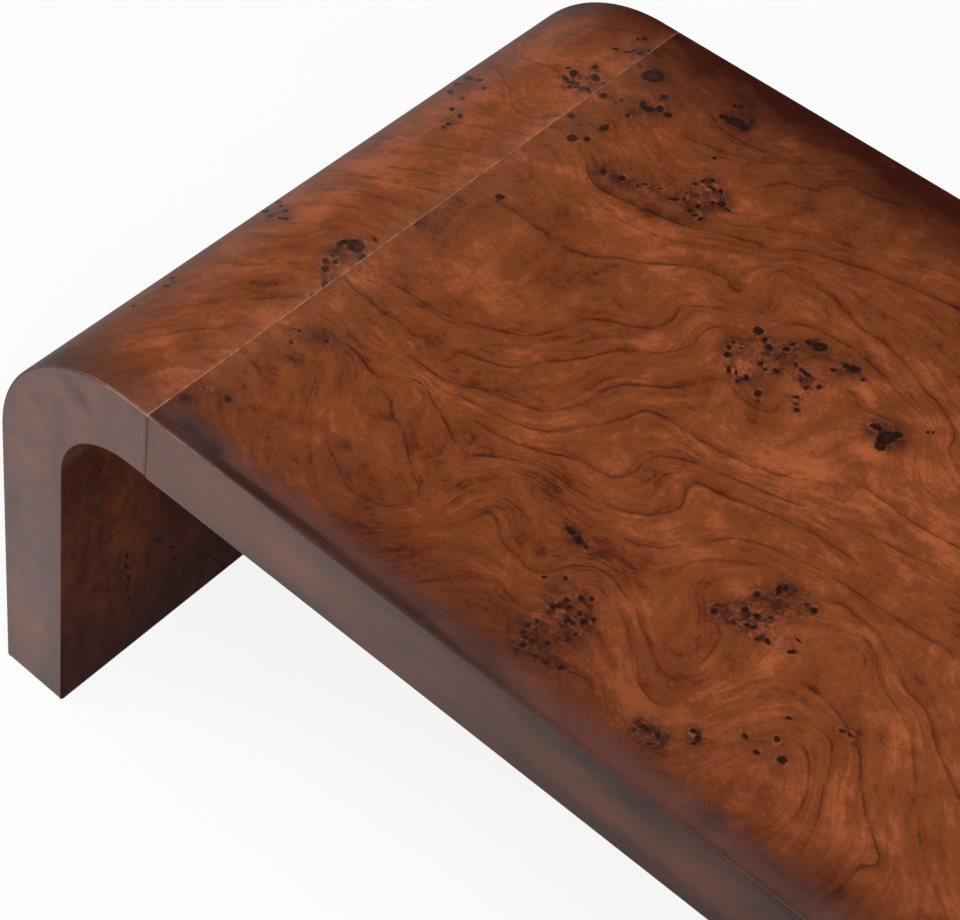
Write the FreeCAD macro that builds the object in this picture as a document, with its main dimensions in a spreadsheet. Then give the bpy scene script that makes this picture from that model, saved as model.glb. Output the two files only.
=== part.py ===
# Waterfall coffee table: a flat centre top bolted between two bent slab legs.
# Every slab is a hollow box: ribs between two skins, with a veneer leaf on each face and edge.
# Frame: origin on the floor under the middle, +X along the length, +Y to the back, +Z up. Millimetres.
import FreeCAD, Part
import math
import os
import re
import Sketcher

SIZES = [
    ("overallLength", 1200, "over both legs"),
    ("overallWidth", 600, "front edge to back edge"),
    ("overallHeight", 412, "floor to top face"),
    ("slabThickness", 64, "top and legs alike"),
    ("innerRadius", 64, "of the bend, on the face under the top"),
    ("flatRun", 16, "of the leg unit, from the bend to the seam"),
    ("veneer", 1, "leaf with its backing"),
    ("skin", 9, "plywood"),
    ("arris", 0.5, "easing of the leaves' edges"),
    ("edgeRail", 30, "width of the rails and formers along the front and back"),
    ("ribWidth", 18, "of the ribs and inner formers"),
    ("jointBlockAngle", 30, "degrees of the bend that the joint block fills"),
    ("footRailHeight", 70, "of the rail across the bottom of a leg"),
    ("dowelDiameter", 10, ""),
    ("dowelLength", 40, "half of it on each side of the seam"),
    ("dowelRelief", 0.6, "left beyond each end of a dowel"),
    ("studDiameter", 8, "joint bolts, M8"),
    ("studInsertLength", 25, "in the joint block"),
    ("insertWall", 2, "of all threaded inserts"),
    ("bearingWall", 34, "wood between the seam and the nut recess"),
    ("recessDiameter", 32, "of the nut recess, open below"),
    ("recessRise", 12, "of the recess above the stud's axis"),
    ("railWall", 24, "wood behind the nut recess"),
    ("washerThickness", 8, "half-moon washer, at its middle"),
    ("washerHeight", 20, ""),
    ("nutAcross", 13, "across the flats"),
    ("nutThickness", 6.5, ""),
    ("studTail", 8, "of the stud past its nut"),
    ("capHeight", 8, "of the push-in recess cap"),
    ("capWall", 2, ""),
    ("fitClearance", 0.1, "radial, round dowels, inserts, caps and threads"),
    ("washerBoreClearance", 0.4, "radial, round a stud"),
    ("standoff", 2, "of the foot above the floor, levellers screwed in"),
    ("levellerInset", 70, "from the front and back edges"),
    ("padDiameter", 32, "of a leveller"),
    ("padThickness", 6, ""),
    ("padChamfer", 1, "under the pad's rim"),
    ("padGap", 1.5, "radial, round the pad in its counterbore"),
    ("stemDiameter", 8, "of a leveller, M8"),
    ("stemLength", 34, "above the pad"),
    ("stemHeadDiameter", 18, "set in the pad"),
    ("stemHeadThickness", 3, ""),
    ("footInsertLength", 20, ""),
    ("boreRelief", 2, "above the stem's end, and round the stem above its insert"),
]
RIB_COUNT = 3
FORMER_COUNT = 2  # inner formers of a leg, besides its front and back ones
STUD_COUNT = 3  # in each seam, with a dowel in each space between them and beyond
SIDES = {"left": "-1", "right": "1"}

# Sizes that follow from the ones above.
BEND_RADIUS = "(innerRadius + slabThickness)"
BEND_X = "(overallLength/2 - %s)" % BEND_RADIUS
BEND_Z = "(overallHeight - %s)" % BEND_RADIUS
CENTRE_LENGTH = "(overallLength - 2*%s - 2*flatRun)" % BEND_RADIUS
SEAM = "(%s/2)" % CENTRE_LENGTH
LEG_DROP = "(%s - standoff)" % BEND_Z
FACED_WIDTH = "(overallWidth - 2*veneer)"
BAY_WIDTH = "(%s - 2*edgeRail)" % FACED_WIDTH
CORE = "(slabThickness - 2*veneer - 2*skin)"
UNDERSIDE = "(overallHeight - slabThickness)"
CORE_BOTTOM = "(%s + veneer + skin)" % UNDERSIDE
MID_SLAB = "(overallHeight - slabThickness/2)"
JOINT_RAIL = "(bearingWall + recessDiameter + railWall)"
RECESS_X = "(%s - bearingWall - recessDiameter/2)" % SEAM
STUD_LENGTH = "(studInsertLength + bearingWall + washerThickness + nutThickness + studTail)"
INSERT_ACROSS = "(%s + 2*fitClearance + 2*insertWall)"
LEG_MIDDLE = "(overallLength/2 - slabThickness/2)"
SEAT_Z = "padThickness"  # where a pad stops against the foot, screwed in

aliases = [alias for alias, size, note in SIZES]
doc = FreeCAD.newDocument("waterfall_coffee_table")
sheet = doc.addObject("Spreadsheet::Sheet", "Sizes")
for row, (alias, size, note) in enumerate(SIZES, start=1):
    sheet.set("A%d" % row, note)
    sheet.set("B%d" % row, str(size))
    sheet.setAlias("B%d" % row, alias)
doc.recompute()


def bound(text):
    """The expression with each size's name pointed at its cell."""
    return re.sub(r"[A-Za-z]+", lambda word: "Sizes." + word[0] if word[0] in aliases else word[0], text)


def value(text):
    """The expression's number now."""
    return float(sheet.evalExpression(bound(text)))


def bind(thing, sizes):
    """Ties properties to expressions."""
    for name, text in sizes.items():
        thing.setExpression(name, bound(text))


def place(thing, x, y, z, axis="z", half_turn=False):
    """Puts an object at x, y, z, with its own Z along the axis, or turned half round Z."""
    turn = FreeCAD.Rotation()
    if axis == "x":
        turn = FreeCAD.Rotation(FreeCAD.Vector(0, 1, 0), 90)
    if half_turn:
        turn = FreeCAD.Rotation(FreeCAD.Vector(0, 0, 1), 180)
    thing.Placement = FreeCAD.Placement(FreeCAD.Vector(), turn)
    bind(thing, {"Placement.Base.x": x, "Placement.Base.y": y, "Placement.Base.z": z})
    return thing


def block(name, long, wide, high, x, y, z):
    """A box with its middle at x, y and its bottom at z."""
    box = doc.addObject("Part::Box", name)
    bind(box, {"Length": long, "Width": wide, "Height": high})
    return place(box, "%s - %s/2" % (x, long), "%s - %s/2" % (y, wide), z)


def rod(name, across, long, x, y, z, axis="z"):
    """A cylinder that starts at x, y, z and runs along the axis."""
    cylinder = doc.addObject("Part::Cylinder", name)
    bind(cylinder, {"Radius": "%s/2" % across, "Height": long})
    return place(cylinder, x, y, z, axis)


def cut(name, base, tools):
    """The base less its tools."""
    tool = tools[0]
    if len(tools) > 1:
        tool = doc.addObject("Part::MultiFuse", name + "_tools")
        tool.Shapes = tools
    result = doc.addObject("Part::Cut", name)
    result.Base = base
    result.Tool = tool
    cut_pairs.append((base, result))
    return result


def group(name, pieces):
    """Identical separate solids under one name."""
    compound = doc.addObject("Part::Compound", name)
    compound.Links = pieces
    return compound


def keep(piece):
    """Marks an object as a sub-part, written to a file of its own."""
    sub_parts.append(piece)
    return piece


def own_sketch(body, role):
    """A sketch on one of the body's own origin planes."""
    sketch = body.newObject("Sketcher::SketchObject", body.Name + "_sketch")
    plane = [feature for feature in body.Origin.OriginFeatures if feature.Role == role][0]
    sketch.AttachmentSupport = (plane, "")
    sketch.MapMode = "FlatFace"
    return sketch


def dimension(sketch, name, text, *where):
    """A named driving constraint, tied to an expression."""
    unit, kind = (" * 1 deg", where[0]) if where[0] == "Angle" else ("", where[0])
    start = math.radians(value(text)) if kind == "Angle" else value(text)
    index = sketch.addConstraint(Sketcher.Constraint(kind, *where[1:], start))
    sketch.renameConstraint(index, name)
    sketch.setExpression("Constraints." + name, "(%s)%s" % (bound(text), unit))


def closed_outline(sketch, corners):
    """Straight sides through the corners, joined end to end."""
    points = [FreeCAD.Vector(x, y, 0) for x, y in corners]
    for here, there in zip(points, points[1:] + points[:1]):
        sketch.addGeometry(Part.LineSegment(here, there), False)
    for side in range(len(points)):
        sketch.addConstraint(Sketcher.Constraint("Coincident", side, 2, (side + 1) % len(points), 1))


def pad(body, sketch, long):
    """Pads the sketch to the given length."""
    feature = body.newObject("PartDesign::Pad", body.Name + "_pad")
    feature.Profile = sketch
    feature.setExpression("Length", bound(long))
    sketch.Visibility = False
    return feature


def ease(body, feature, is_eased):
    """Chamfers the edges that the test picks by their middle and box."""
    doc.recompute()
    names = []
    for number, edge in enumerate(feature.Shape.Edges, start=1):
        middle = edge.valueAt((edge.FirstParameter + edge.LastParameter) / 2)
        if is_eased(middle, edge.BoundBox):
            names.append("Edge%d" % number)
    chamfer = body.newObject("PartDesign::Chamfer", body.Name + "_arris")
    chamfer.Base = (feature, names)
    chamfer.setExpression("Size", bound("min(arris; veneer/2)"))
    return chamfer


def leaf(name, z, faces_up):
    """A flat veneer leaf of the centre, its outer face's four edges eased."""
    body = doc.addObject("PartDesign::Body", name)
    sketch = own_sketch(body, "XY_Plane")
    long, wide = value(CENTRE_LENGTH) / 2, value("overallWidth") / 2
    closed_outline(sketch, [(-long, -wide), (long, -wide), (long, wide), (-long, wide)])
    for side, kind in enumerate(("Horizontal", "Vertical", "Horizontal", "Vertical")):
        sketch.addConstraint(Sketcher.Constraint(kind, side))
    sketch.addConstraint(Sketcher.Constraint("Symmetric", 0, 1, 1, 2, -1, 1))
    dimension(sketch, "long", CENTRE_LENGTH, "DistanceX", 0, 1, 0, 2)
    dimension(sketch, "wide", "overallWidth", "DistanceY", 1, 1, 1, 2)
    feature = pad(body, sketch, "veneer")
    face_z = value("veneer") if faces_up else 0
    ease(body, feature, lambda middle, box: abs(middle.z - face_z) < 1e-6 and box.ZLength < 1e-6)
    return place(body, "0", "0", z)


def bent(name, side, outer, inner, y, wide, start="flat", finish="foot", eased=None):
    """A piece that follows the bend of a leg unit, between two radii.

    It starts at the seam or at the joint block's end, and finishes at the foot, at the foot rail
    or at the joint block's end. Its middle is at y and its width runs along Y.
    """
    drop = LEG_DROP if finish == "foot" else "(%s - footRailHeight)" % LEG_DROP
    first = 90 if start == "flat" else 90 + value("jointBlockAngle")
    last = 90 + value("jointBlockAngle") if finish == "angle" else 180
    big, small = value(outer), value(inner)
    body = doc.addObject("PartDesign::Body", name)
    sketch = own_sketch(body, "XZ_Plane")

    def on_arc(radius, degrees):
        turned = math.radians(degrees)
        return FreeCAD.Vector(radius * math.cos(turned), radius * math.sin(turned), 0)

    def add_line(here, there):
        return sketch.addGeometry(Part.LineSegment(here, there), False)

    def tie(kind, *where):
        sketch.addConstraint(Sketcher.Constraint(kind, *where))

    arcs = []
    for radius in (big, small):
        circle = Part.Circle(FreeCAD.Vector(), FreeCAD.Vector(0, 0, 1), radius)
        arcs.append(sketch.addGeometry(Part.ArcOfCircle(circle, math.radians(first), math.radians(last)), False))
    for arc, radius, text in zip(arcs, ("outer", "inner"), (outer, inner)):
        tie("Coincident", arc, 3, -1, 1)
        dimension(sketch, radius, text, "Radius", arc)
    # The seam end: straight runs out of the bend, or a cut along a radius.
    if start == "flat":
        run = value("flatRun")
        ends = []
        for arc, radius in zip(arcs, (big, small)):
            tie("PointOnObject", arc, 1, -2)
            line = add_line(on_arc(radius, 90), FreeCAD.Vector(run, radius, 0))
            tie("Coincident", line, 1, arc, 1)
            tie("Horizontal", line)
            ends.append(line)
        across = add_line(FreeCAD.Vector(run, big, 0), FreeCAD.Vector(run, small, 0))
        tie("Coincident", across, 1, ends[0], 2)
        tie("Coincident", across, 2, ends[1], 2)
        tie("Vertical", across)
        dimension(sketch, "flat", "flatRun", "DistanceX", -1, 1, across, 1)
    else:
        across = add_line(on_arc(small, first), on_arc(big, first))
        tie("Coincident", across, 1, arcs[1], 1)
        tie("Coincident", across, 2, arcs[0], 1)
        tie("PointOnObject", -1, 1, across)
        dimension(sketch, "start", "90 + jointBlockAngle", "Angle", across)
    # The other end: straight runs down the leg, or a cut along a radius.
    if finish == "angle":
        across = add_line(on_arc(small, last), on_arc(big, last))
        tie("Coincident", across, 1, arcs[1], 2)
        tie("Coincident", across, 2, arcs[0], 2)
        tie("PointOnObject", -1, 1, across)
        dimension(sketch, "finish", "90 + jointBlockAngle", "Angle", across)
    else:
        foot = -value(drop)
        ends = []
        for arc, radius in zip(arcs, (big, small)):
            tie("PointOnObject", arc, 2, -1)
            line = add_line(on_arc(radius, 180), FreeCAD.Vector(-radius, foot, 0))
            tie("Coincident", line, 1, arc, 2)
            tie("Vertical", line)
            ends.append(line)
        across = add_line(FreeCAD.Vector(-big, foot, 0), FreeCAD.Vector(-small, foot, 0))
        tie("Coincident", across, 1, ends[0], 2)
        tie("Coincident", across, 2, ends[1], 2)
        tie("Horizontal", across)
        dimension(sketch, "drop", drop, "DistanceY", across, 1, -1, 1)
    feature = pad(body, sketch, wide)

    if eased is not None:
        face, run = value(eased), value("flatRun")

        def is_eased(middle, box):
            reach = math.hypot(min(middle.x, 0), max(middle.z, 0))
            reach = middle.z if middle.x > 0 else -middle.x if middle.z < 0 else reach
            return abs(reach - face) < 1e-6 and (box.YLength < 1e-6 or middle.x > run - 1e-6)

        ease(body, feature, is_eased)
    # The pad runs towards -Y, and after the half turn towards +Y.
    sign = SIDES[side]
    return place(body, "%s*%s" % (sign, BEND_X), "%s - %s*%s/2" % (y, sign, wide), BEND_Z, "z", side == "right")


def turned(name, outline, x, y, z):
    """A round piece from half its section, as radius and height texts, turned about Z."""
    body = doc.addObject("PartDesign::Body", name)
    sketch = own_sketch(body, "XZ_Plane")
    closed_outline(sketch, [(value(radius), value(height)) for radius, height in outline])
    for corner, (radius, height) in enumerate(outline):
        for axis, text in (("X", radius), ("Y", height)):
            if abs(value(text)) < 1e-9:
                sketch.addConstraint(Sketcher.Constraint("PointOnObject", corner, 1, -2 if axis == "X" else -1))
            else:
                label = "corner%d%s" % (corner, axis)
                dimension(sketch, label, text, "Distance" + axis, -1, 1, corner, 1)
    revolution = body.newObject("PartDesign::Revolution", name + "_turn")
    revolution.Profile = sketch
    revolution.ReferenceAxis = (sketch, ["V_Axis"])
    revolution.Angle = 360
    return place(body, x, y, z)


def ring(name, across, bore, long, x, y, z, axis="z"):
    """A plain sleeve."""
    outside = rod(name + "_outside", across, long, x, y, z, axis)
    return cut(name, outside, [rod(name + "_bore", bore, long, x, y, z, axis)])


def across_bay(step, steps):
    """The Y of one of the evenly spaced lines across a bay between the front and back rails."""
    return "(%s*(%d/%d - 1/2))" % (BAY_WIDTH, step, steps)


# The studs stand on the even lines of a seam and the dowels on the odd ones.
SEAM_STEPS = 2 * (STUD_COUNT + 1)
STUD_LINES = [across_bay(step, SEAM_STEPS) for step in range(2, SEAM_STEPS, 2)]
DOWEL_LINES = [across_bay(step, SEAM_STEPS) for step in range(1, SEAM_STEPS, 2)]
EDGES = {"front": "-1", "back": "1"}


def seam_rods(name, side, across, inward, outward, lines):
    """Cylinders across a seam, reaching the given lengths into the top and into the leg unit."""
    long = "(%s + %s)" % (inward, outward)
    start = "-%s - %s" % (SEAM, outward) if side == "left" else "%s - %s" % (SEAM, inward)
    return [rod("%s_%d" % (name, i), across, long, start, y, MID_SLAB, "x") for i, y in enumerate(lines, 1)]


def nut_recesses(name, side):
    """The bores for the nuts, from under the table up past the studs."""
    high = "(slabThickness/2 + recessRise)"
    x = "%s*%s" % (SIDES[side], RECESS_X)
    return [rod("%s_%d" % (name, i), "recessDiameter", high, x, y, UNDERSIDE) for i, y in enumerate(STUD_LINES, 1)]


def centre_top():
    """The flat middle section."""
    keep(leaf("centre_top_veneer", "overallHeight - veneer", True))
    recesses = nut_recesses("underside_left_recess", "left") + nut_recesses("underside_right_recess", "right")
    under = leaf("centre_underside_leaf", UNDERSIDE, False)
    keep(cut("centre_underside_veneer", under, recesses))
    top_skin_z = "overallHeight - veneer - skin"
    keep(block("centre_upper_skin", CENTRE_LENGTH, FACED_WIDTH, "skin", "0", "0", top_skin_z))
    lower = block("centre_lower_board", CENTRE_LENGTH, FACED_WIDTH, "skin", "0", "0", UNDERSIDE + " + veneer")
    recesses = nut_recesses("skin_left_recess", "left") + nut_recesses("skin_right_recess", "right")
    keep(cut("centre_lower_skin", lower, recesses))
    for edge, sign in EDGES.items():
        y = "%s*(%s/2 - edgeRail/2)" % (sign, FACED_WIDTH)
        keep(block("centre_%s_rail" % edge, CENTRE_LENGTH, "edgeRail", CORE, "0", y, CORE_BOTTOM))
        y = "%s*(overallWidth/2 - veneer/2)" % sign
        high = "(slabThickness - 2*veneer)"
        name = "centre_%s_edge_veneer" % edge
        keep(block(name, CENTRE_LENGTH, "veneer", high, "0", y, UNDERSIDE + " + veneer"))
    for side, sign in SIDES.items():
        name = "centre_%s_joint_rail" % side
        x = "%s*(%s - %s/2)" % (sign, SEAM, JOINT_RAIL)
        rail = block(name + "_board", JOINT_RAIL, BAY_WIDTH, CORE, x, "0", CORE_BOTTOM)
        tools = nut_recesses(name + "_recess", side)
        dowel_hole = "(dowelDiameter + 2*fitClearance)"
        dowel_deep = "(dowelLength/2 + dowelRelief)"
        tools += seam_rods(name + "_dowel_hole", side, dowel_hole, dowel_deep, "0", DOWEL_LINES)
        stud_hole = "(studDiameter + 2*fitClearance)"
        stud_deep = "(bearingWall + recessDiameter/2)"
        tools += seam_rods(name + "_stud_hole", side, stud_hole, stud_deep, "0", STUD_LINES)
        keep(cut(name, rail, tools))
    for number in range(1, RIB_COUNT + 1):
        x = "((%s - 2*%s)*(%d/%d - 1/2))" % (CENTRE_LENGTH, JOINT_RAIL, number, RIB_COUNT + 1)
        keep(block("centre_rib_%d" % number, "ribWidth", BAY_WIDTH, CORE, x, "0", CORE_BOTTOM))


def leg_unit(side):
    """One bent slab leg."""
    prefix = side + "_leg_"
    outer_face, inner_face = BEND_RADIUS, "innerRadius"
    under_leaf = "(%s - veneer)" % outer_face
    core_outer = "(%s - skin)" % under_leaf
    over_leaf = "(%s + veneer)" % inner_face
    core_inner = "(%s + skin)" % over_leaf
    keep(bent(prefix + "outer_veneer", side, outer_face, under_leaf, "0", "overallWidth", eased=outer_face))
    keep(bent(prefix + "outer_skin", side, under_leaf, core_outer, "0", FACED_WIDTH))
    keep(bent(prefix + "inner_skin", side, core_inner, over_leaf, "0", FACED_WIDTH))
    keep(bent(prefix + "inner_veneer", side, over_leaf, inner_face, "0", "overallWidth", eased=inner_face))
    for edge, sign in EDGES.items():
        y = "%s*(%s/2 - edgeRail/2)" % (sign, FACED_WIDTH)
        keep(bent("%s%s_former" % (prefix, edge), side, core_outer, core_inner, y, "edgeRail"))
        y = "%s*(overallWidth/2 - veneer/2)" % sign
        keep(bent("%s%s_edge_veneer" % (prefix, edge), side, under_leaf, over_leaf, y, "veneer"))
    for number in range(1, FORMER_COUNT + 1):
        name = "%sinner_former_%d" % (prefix, number)
        y = across_bay(number, FORMER_COUNT + 1)
        keep(bent(name, side, core_outer, core_inner, y, "ribWidth", "angle", "rail"))
    joint_block(side, core_outer, core_inner)
    foot_rail(side)


def joint_block(side, core_outer, core_inner):
    """The block behind a leg unit's seam, drilled for the dowels and for the studs' inserts."""
    name = side + "_leg_joint_block"
    solid = bent(name + "_solid", side, core_outer, core_inner, "0", BAY_WIDTH, "flat", "angle")
    dowel_hole = "(dowelDiameter + 2*fitClearance)"
    insert_hole = "(%s + 2*fitClearance)" % INSERT_ACROSS % "studDiameter"
    tools = seam_rods(name + "_dowel_hole", side, dowel_hole, "0", "(dowelLength/2 + dowelRelief)", DOWEL_LINES)
    tools += seam_rods(name + "_insert_hole", side, insert_hole, "0", "studInsertLength", STUD_LINES)
    keep(cut(name, solid, tools))


def joint_hardware(side):
    """The dowels, and the studs with their inserts, half-moon washers, nuts and caps."""
    sign = SIDES[side]
    half = "(dowelLength/2)"
    keep(group(side + "_joint_dowels", seam_rods(side + "_dowel", side, "dowelDiameter", half, half, DOWEL_LINES)))
    inward = "(%s - studInsertLength)" % STUD_LENGTH
    studs = seam_rods(side + "_stud", side, "studDiameter", inward, "studInsertLength", STUD_LINES)
    keep(group(side + "_joint_studs", studs))
    stud_bore = "(studDiameter + 2*fitClearance)"
    inserts, washers, nuts, caps = [], [], [], []
    for number, y in enumerate(STUD_LINES, start=1):
        mark = "_%d" % number
        start = "-%s - studInsertLength" % SEAM if side == "left" else SEAM
        name = side + "_stud_insert" + mark
        across = INSERT_ACROSS % "studDiameter"
        inserts.append(ring(name, across, stud_bore, "studInsertLength", start, y, MID_SLAB, "x"))
        washers.append(half_moon_washer(side + "_washer" + mark, sign, y))
        nuts.append(hex_nut(side + "_nut" + mark, sign, y, stud_bore))
        x = "%s*%s" % (sign, RECESS_X)
        across = "(recessDiameter - 2*fitClearance)"
        cup = rod(side + "_cap_outside" + mark, across, "capHeight", x, y, UNDERSIDE)
        hollow_across, hollow_high = "(%s - 2*capWall)" % across, "(capHeight - capWall)"
        hollow = rod(side + "_cap_hollow" + mark, hollow_across, hollow_high, x, y, UNDERSIDE + " + capWall")
        caps.append(cut(side + "_cap" + mark, cup, [hollow]))
    keep(group(side + "_stud_inserts", inserts))
    keep(group(side + "_half_moon_washers", washers))
    keep(group(side + "_joint_nuts", nuts))
    keep(group(side + "_recess_caps", caps))


def half_moon_washer(name, sign, y):
    """A washer that is round towards the recess's wall and flat towards the nut."""
    low = "%s - washerHeight/2" % MID_SLAB
    x = "%s*%s" % (sign, RECESS_X)
    disc = rod(name + "_disc", "(recessDiameter - 2*fitClearance)", "washerHeight", x, y, low)
    # The flat lies the washer's thickness in from the bearing wall; all beyond it is cut away.
    away = "(recessDiameter - washerThickness)"
    beyond_x = "%s*(%s - bearingWall - washerThickness - %s/2)" % (sign, SEAM, away)
    beyond = block(name + "_beyond", away, "recessDiameter", "washerHeight", beyond_x, y, low)
    bore = "(studDiameter + 2*washerBoreClearance)"
    start = "%s - recessDiameter" % x
    hole = rod(name + "_hole", bore, "2*recessDiameter", start, y, MID_SLAB, "x")
    return cut(name, disc, [beyond, hole])


def hex_nut(name, sign, y, bore):
    """A nut against a washer's flat."""
    prism = doc.addObject("Part::Prism", name + "_prism")
    prism.Polygon = 6
    bind(prism, {"Circumradius": "nutAcross/2/cos(30 deg)", "Height": "nutThickness"})
    inside = "(%s - bearingWall - washerThickness)" % SEAM
    start = "-" + inside if sign == "-1" else inside + " - nutThickness"
    place(prism, start, y, MID_SLAB, "x")
    return cut(name, prism, [rod(name + "_bore", bore, "nutThickness", start, y, MID_SLAB, "x")])


def leveller_y(edge):
    return "%s*(overallWidth/2 - levellerInset)" % EDGES[edge]


def foot_rail(side):
    """The rail across the bottom of a leg, bored and counterbored for its levellers."""
    name = side + "_leg_foot_rail"
    x = "%s*%s" % (SIDES[side], LEG_MIDDLE)
    rail = block(name + "_board", CORE, BAY_WIDTH, "footRailHeight", x, "0", "standoff")
    insert_across = INSERT_ACROSS % "stemDiameter"
    tools = []
    for edge in EDGES:
        y = leveller_y(edge)
        part = "%s_%s" % (name, edge)
        seat_across = "(padDiameter + 2*padGap)"
        tools.append(rod(part + "_seat", seat_across, "(%s - standoff)" % SEAT_Z, x, y, "standoff"))
        insert_hole = "(%s + 2*fitClearance)" % insert_across
        tools.append(rod(part + "_insert_hole", insert_hole, "footInsertLength", x, y, SEAT_Z))
        relief_across, relief_high = "(stemDiameter + boreRelief)", "(stemLength + boreRelief)"
        tools.append(rod(part + "_relief", relief_across, relief_high, x, y, SEAT_Z))
    keep(cut(name, rail, tools))
    bore = "(stemDiameter + 2*fitClearance)"
    rings = []
    for edge in EDGES:
        ring_name = "%s_%s_foot_insert" % (side, edge)
        rings.append(ring(ring_name, insert_across, bore, "footInsertLength", x, leveller_y(edge), SEAT_Z))
    keep(group(side + "_foot_inserts", rings))


def leveller(side, edge):
    """A screw-in foot: a steel stem with its head set in a nylon pad, screwed fully in."""
    name = "%s_%s_leveller_" % (side, edge)
    x, y = "%s*%s" % (SIDES[side], LEG_MIDDLE), leveller_y(edge)
    head_z = "(padThickness - stemHeadThickness)"
    stem_outline = [
        ("0", head_z),
        ("stemHeadDiameter/2", head_z),
        ("stemHeadDiameter/2", "padThickness"),
        ("stemDiameter/2", "padThickness"),
        ("stemDiameter/2", "(padThickness + stemLength)"),
        ("0", "(padThickness + stemLength)"),
    ]
    keep(turned(name + "stem", stem_outline, x, y, "0"))
    socket = "(stemHeadDiameter/2 + fitClearance)"
    pad_outline = [
        ("0", "0"),
        ("(padDiameter/2 - padChamfer)", "0"),
        ("padDiameter/2", "padChamfer"),
        ("padDiameter/2", "padThickness"),
        (socket, "padThickness"),
        (socket, head_z),
        ("0", head_z),
    ]
    keep(turned(name + "pad", pad_outline, x, y, "0"))


cut_pairs, sub_parts = [], []
centre_top()
for side in SIDES:
    leg_unit(side)
    joint_hardware(side)
    for edge in EDGES:
        leveller(side, edge)
doc.recompute()

for thing in doc.Objects:
    if "Invalid" in thing.State or "Error" in thing.State:
        raise RuntimeError("%s did not build: %s" % (thing.Name, thing.State))
for base, result in cut_pairs:
    if not result.Shape.Volume < base.Shape.Volume * 0.99999:
        raise RuntimeError("%s lost nothing to its tools" % result.Name)
for piece in sub_parts:
    if piece.Shape.isNull() or not piece.Shape.isValid() or not piece.Shape.Solids:
        raise RuntimeError("%s has no valid solid" % piece.Label)

os.makedirs("parts", exist_ok=True)
for piece in sub_parts:
    piece.Shape.exportStep("parts/%s.step" % piece.Label)
print("wrote", len(sub_parts), "sub-parts")
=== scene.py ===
import math

import bmesh
import bpy
import numpy as np
from mathutils import Matrix, Vector


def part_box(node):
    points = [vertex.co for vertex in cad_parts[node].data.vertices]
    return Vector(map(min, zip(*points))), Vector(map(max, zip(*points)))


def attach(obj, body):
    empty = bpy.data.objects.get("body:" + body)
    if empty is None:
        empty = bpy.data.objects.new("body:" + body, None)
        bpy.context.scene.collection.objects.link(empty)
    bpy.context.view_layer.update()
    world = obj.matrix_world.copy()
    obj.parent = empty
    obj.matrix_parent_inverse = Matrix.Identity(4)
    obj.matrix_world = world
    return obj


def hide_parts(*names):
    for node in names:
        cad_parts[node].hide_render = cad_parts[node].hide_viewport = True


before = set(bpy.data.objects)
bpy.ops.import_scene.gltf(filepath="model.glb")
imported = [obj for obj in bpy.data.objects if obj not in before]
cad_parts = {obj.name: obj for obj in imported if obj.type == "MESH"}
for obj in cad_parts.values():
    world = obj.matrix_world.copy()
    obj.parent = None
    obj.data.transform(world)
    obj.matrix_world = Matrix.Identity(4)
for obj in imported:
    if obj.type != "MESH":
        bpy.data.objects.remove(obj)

scene = bpy.context.scene
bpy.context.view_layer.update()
mm = 0.001

# places of the table, from the frame: the seam, the faces and the bend's centre
topLow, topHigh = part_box("centre_top_veneer")
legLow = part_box("left_leg_outer_veneer")[0]
innerLow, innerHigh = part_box("left_leg_inner_veneer")
seamX = topHigh.x
topZ = topHigh.z
halfWidth = topHigh.y
leaf = topZ - topLow.z           # thickness of a veneer leaf
undersideZ = innerHigh.z - leaf
legOutX = -legLow.x
legInX = -innerLow.x - leaf
footZ = legLow.z
flatRun = 16 * mm                # length of the bent unit that stays flat beside the seam
bendX = seamX + flatRun
outerRadius = legOutX - bendX
innerRadius = legInX - bendX
bendZ = topZ - outerRadius
print("frame: seam", round(seamX, 3), "bend", round(bendX, 3), round(bendZ, 3))

camera = dict(
    place=Vector((0.21385, -1.00824, 1.51408)),
    aim=Vector((-0.39574, -0.12809, 0.412)),
    roll=8.838,                # degrees
    lens=83.92,                # mm, on a sensor this wide
    sensor=36.0,
    shift=(0.0948, -0.1317),   # the frame is a crop: its middle lies off the lens axis
    width=960,                 # the picture's frame in pixels
    height=920,
)


def makeCamera():
    data = bpy.data.cameras.new("camera")
    data.sensor_fit = "HORIZONTAL"
    data.sensor_width = camera["sensor"]
    data.lens = camera["lens"]
    data.shift_x, data.shift_y = camera["shift"]
    data.clip_start = 0.05
    data.clip_end = 60
    holder = bpy.data.objects.new("camera", data)
    scene.collection.objects.link(holder)
    look = (camera["aim"] - camera["place"]).to_track_quat("-Z", "Y").to_matrix()
    turned = look @ Matrix.Rotation(math.radians(camera["roll"]), 3, "Z")
    holder.matrix_world = Matrix.Translation(camera["place"]) @ turned.to_4x4()
    scene.camera = holder
    return turned


cameraTurn = makeCamera()
focalPixels = camera["lens"] / camera["sensor"] * camera["width"]


def rayThrough(pixel):
    # direction from the camera through a pixel of the 960 x 920 frame
    across = pixel[0] + (camera["shift"][0] - 0.5) * camera["width"]
    down = pixel[1] - camera["height"] / 2 - camera["shift"][1] * camera["width"]
    return cameraTurn @ Vector((across, -down, -focalPixels))


def onTop(pixel):
    ray = rayThrough(pixel)
    point = camera["place"] + ray * ((topZ - camera["place"].z) / ray.z)
    return point.x, point.y


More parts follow.
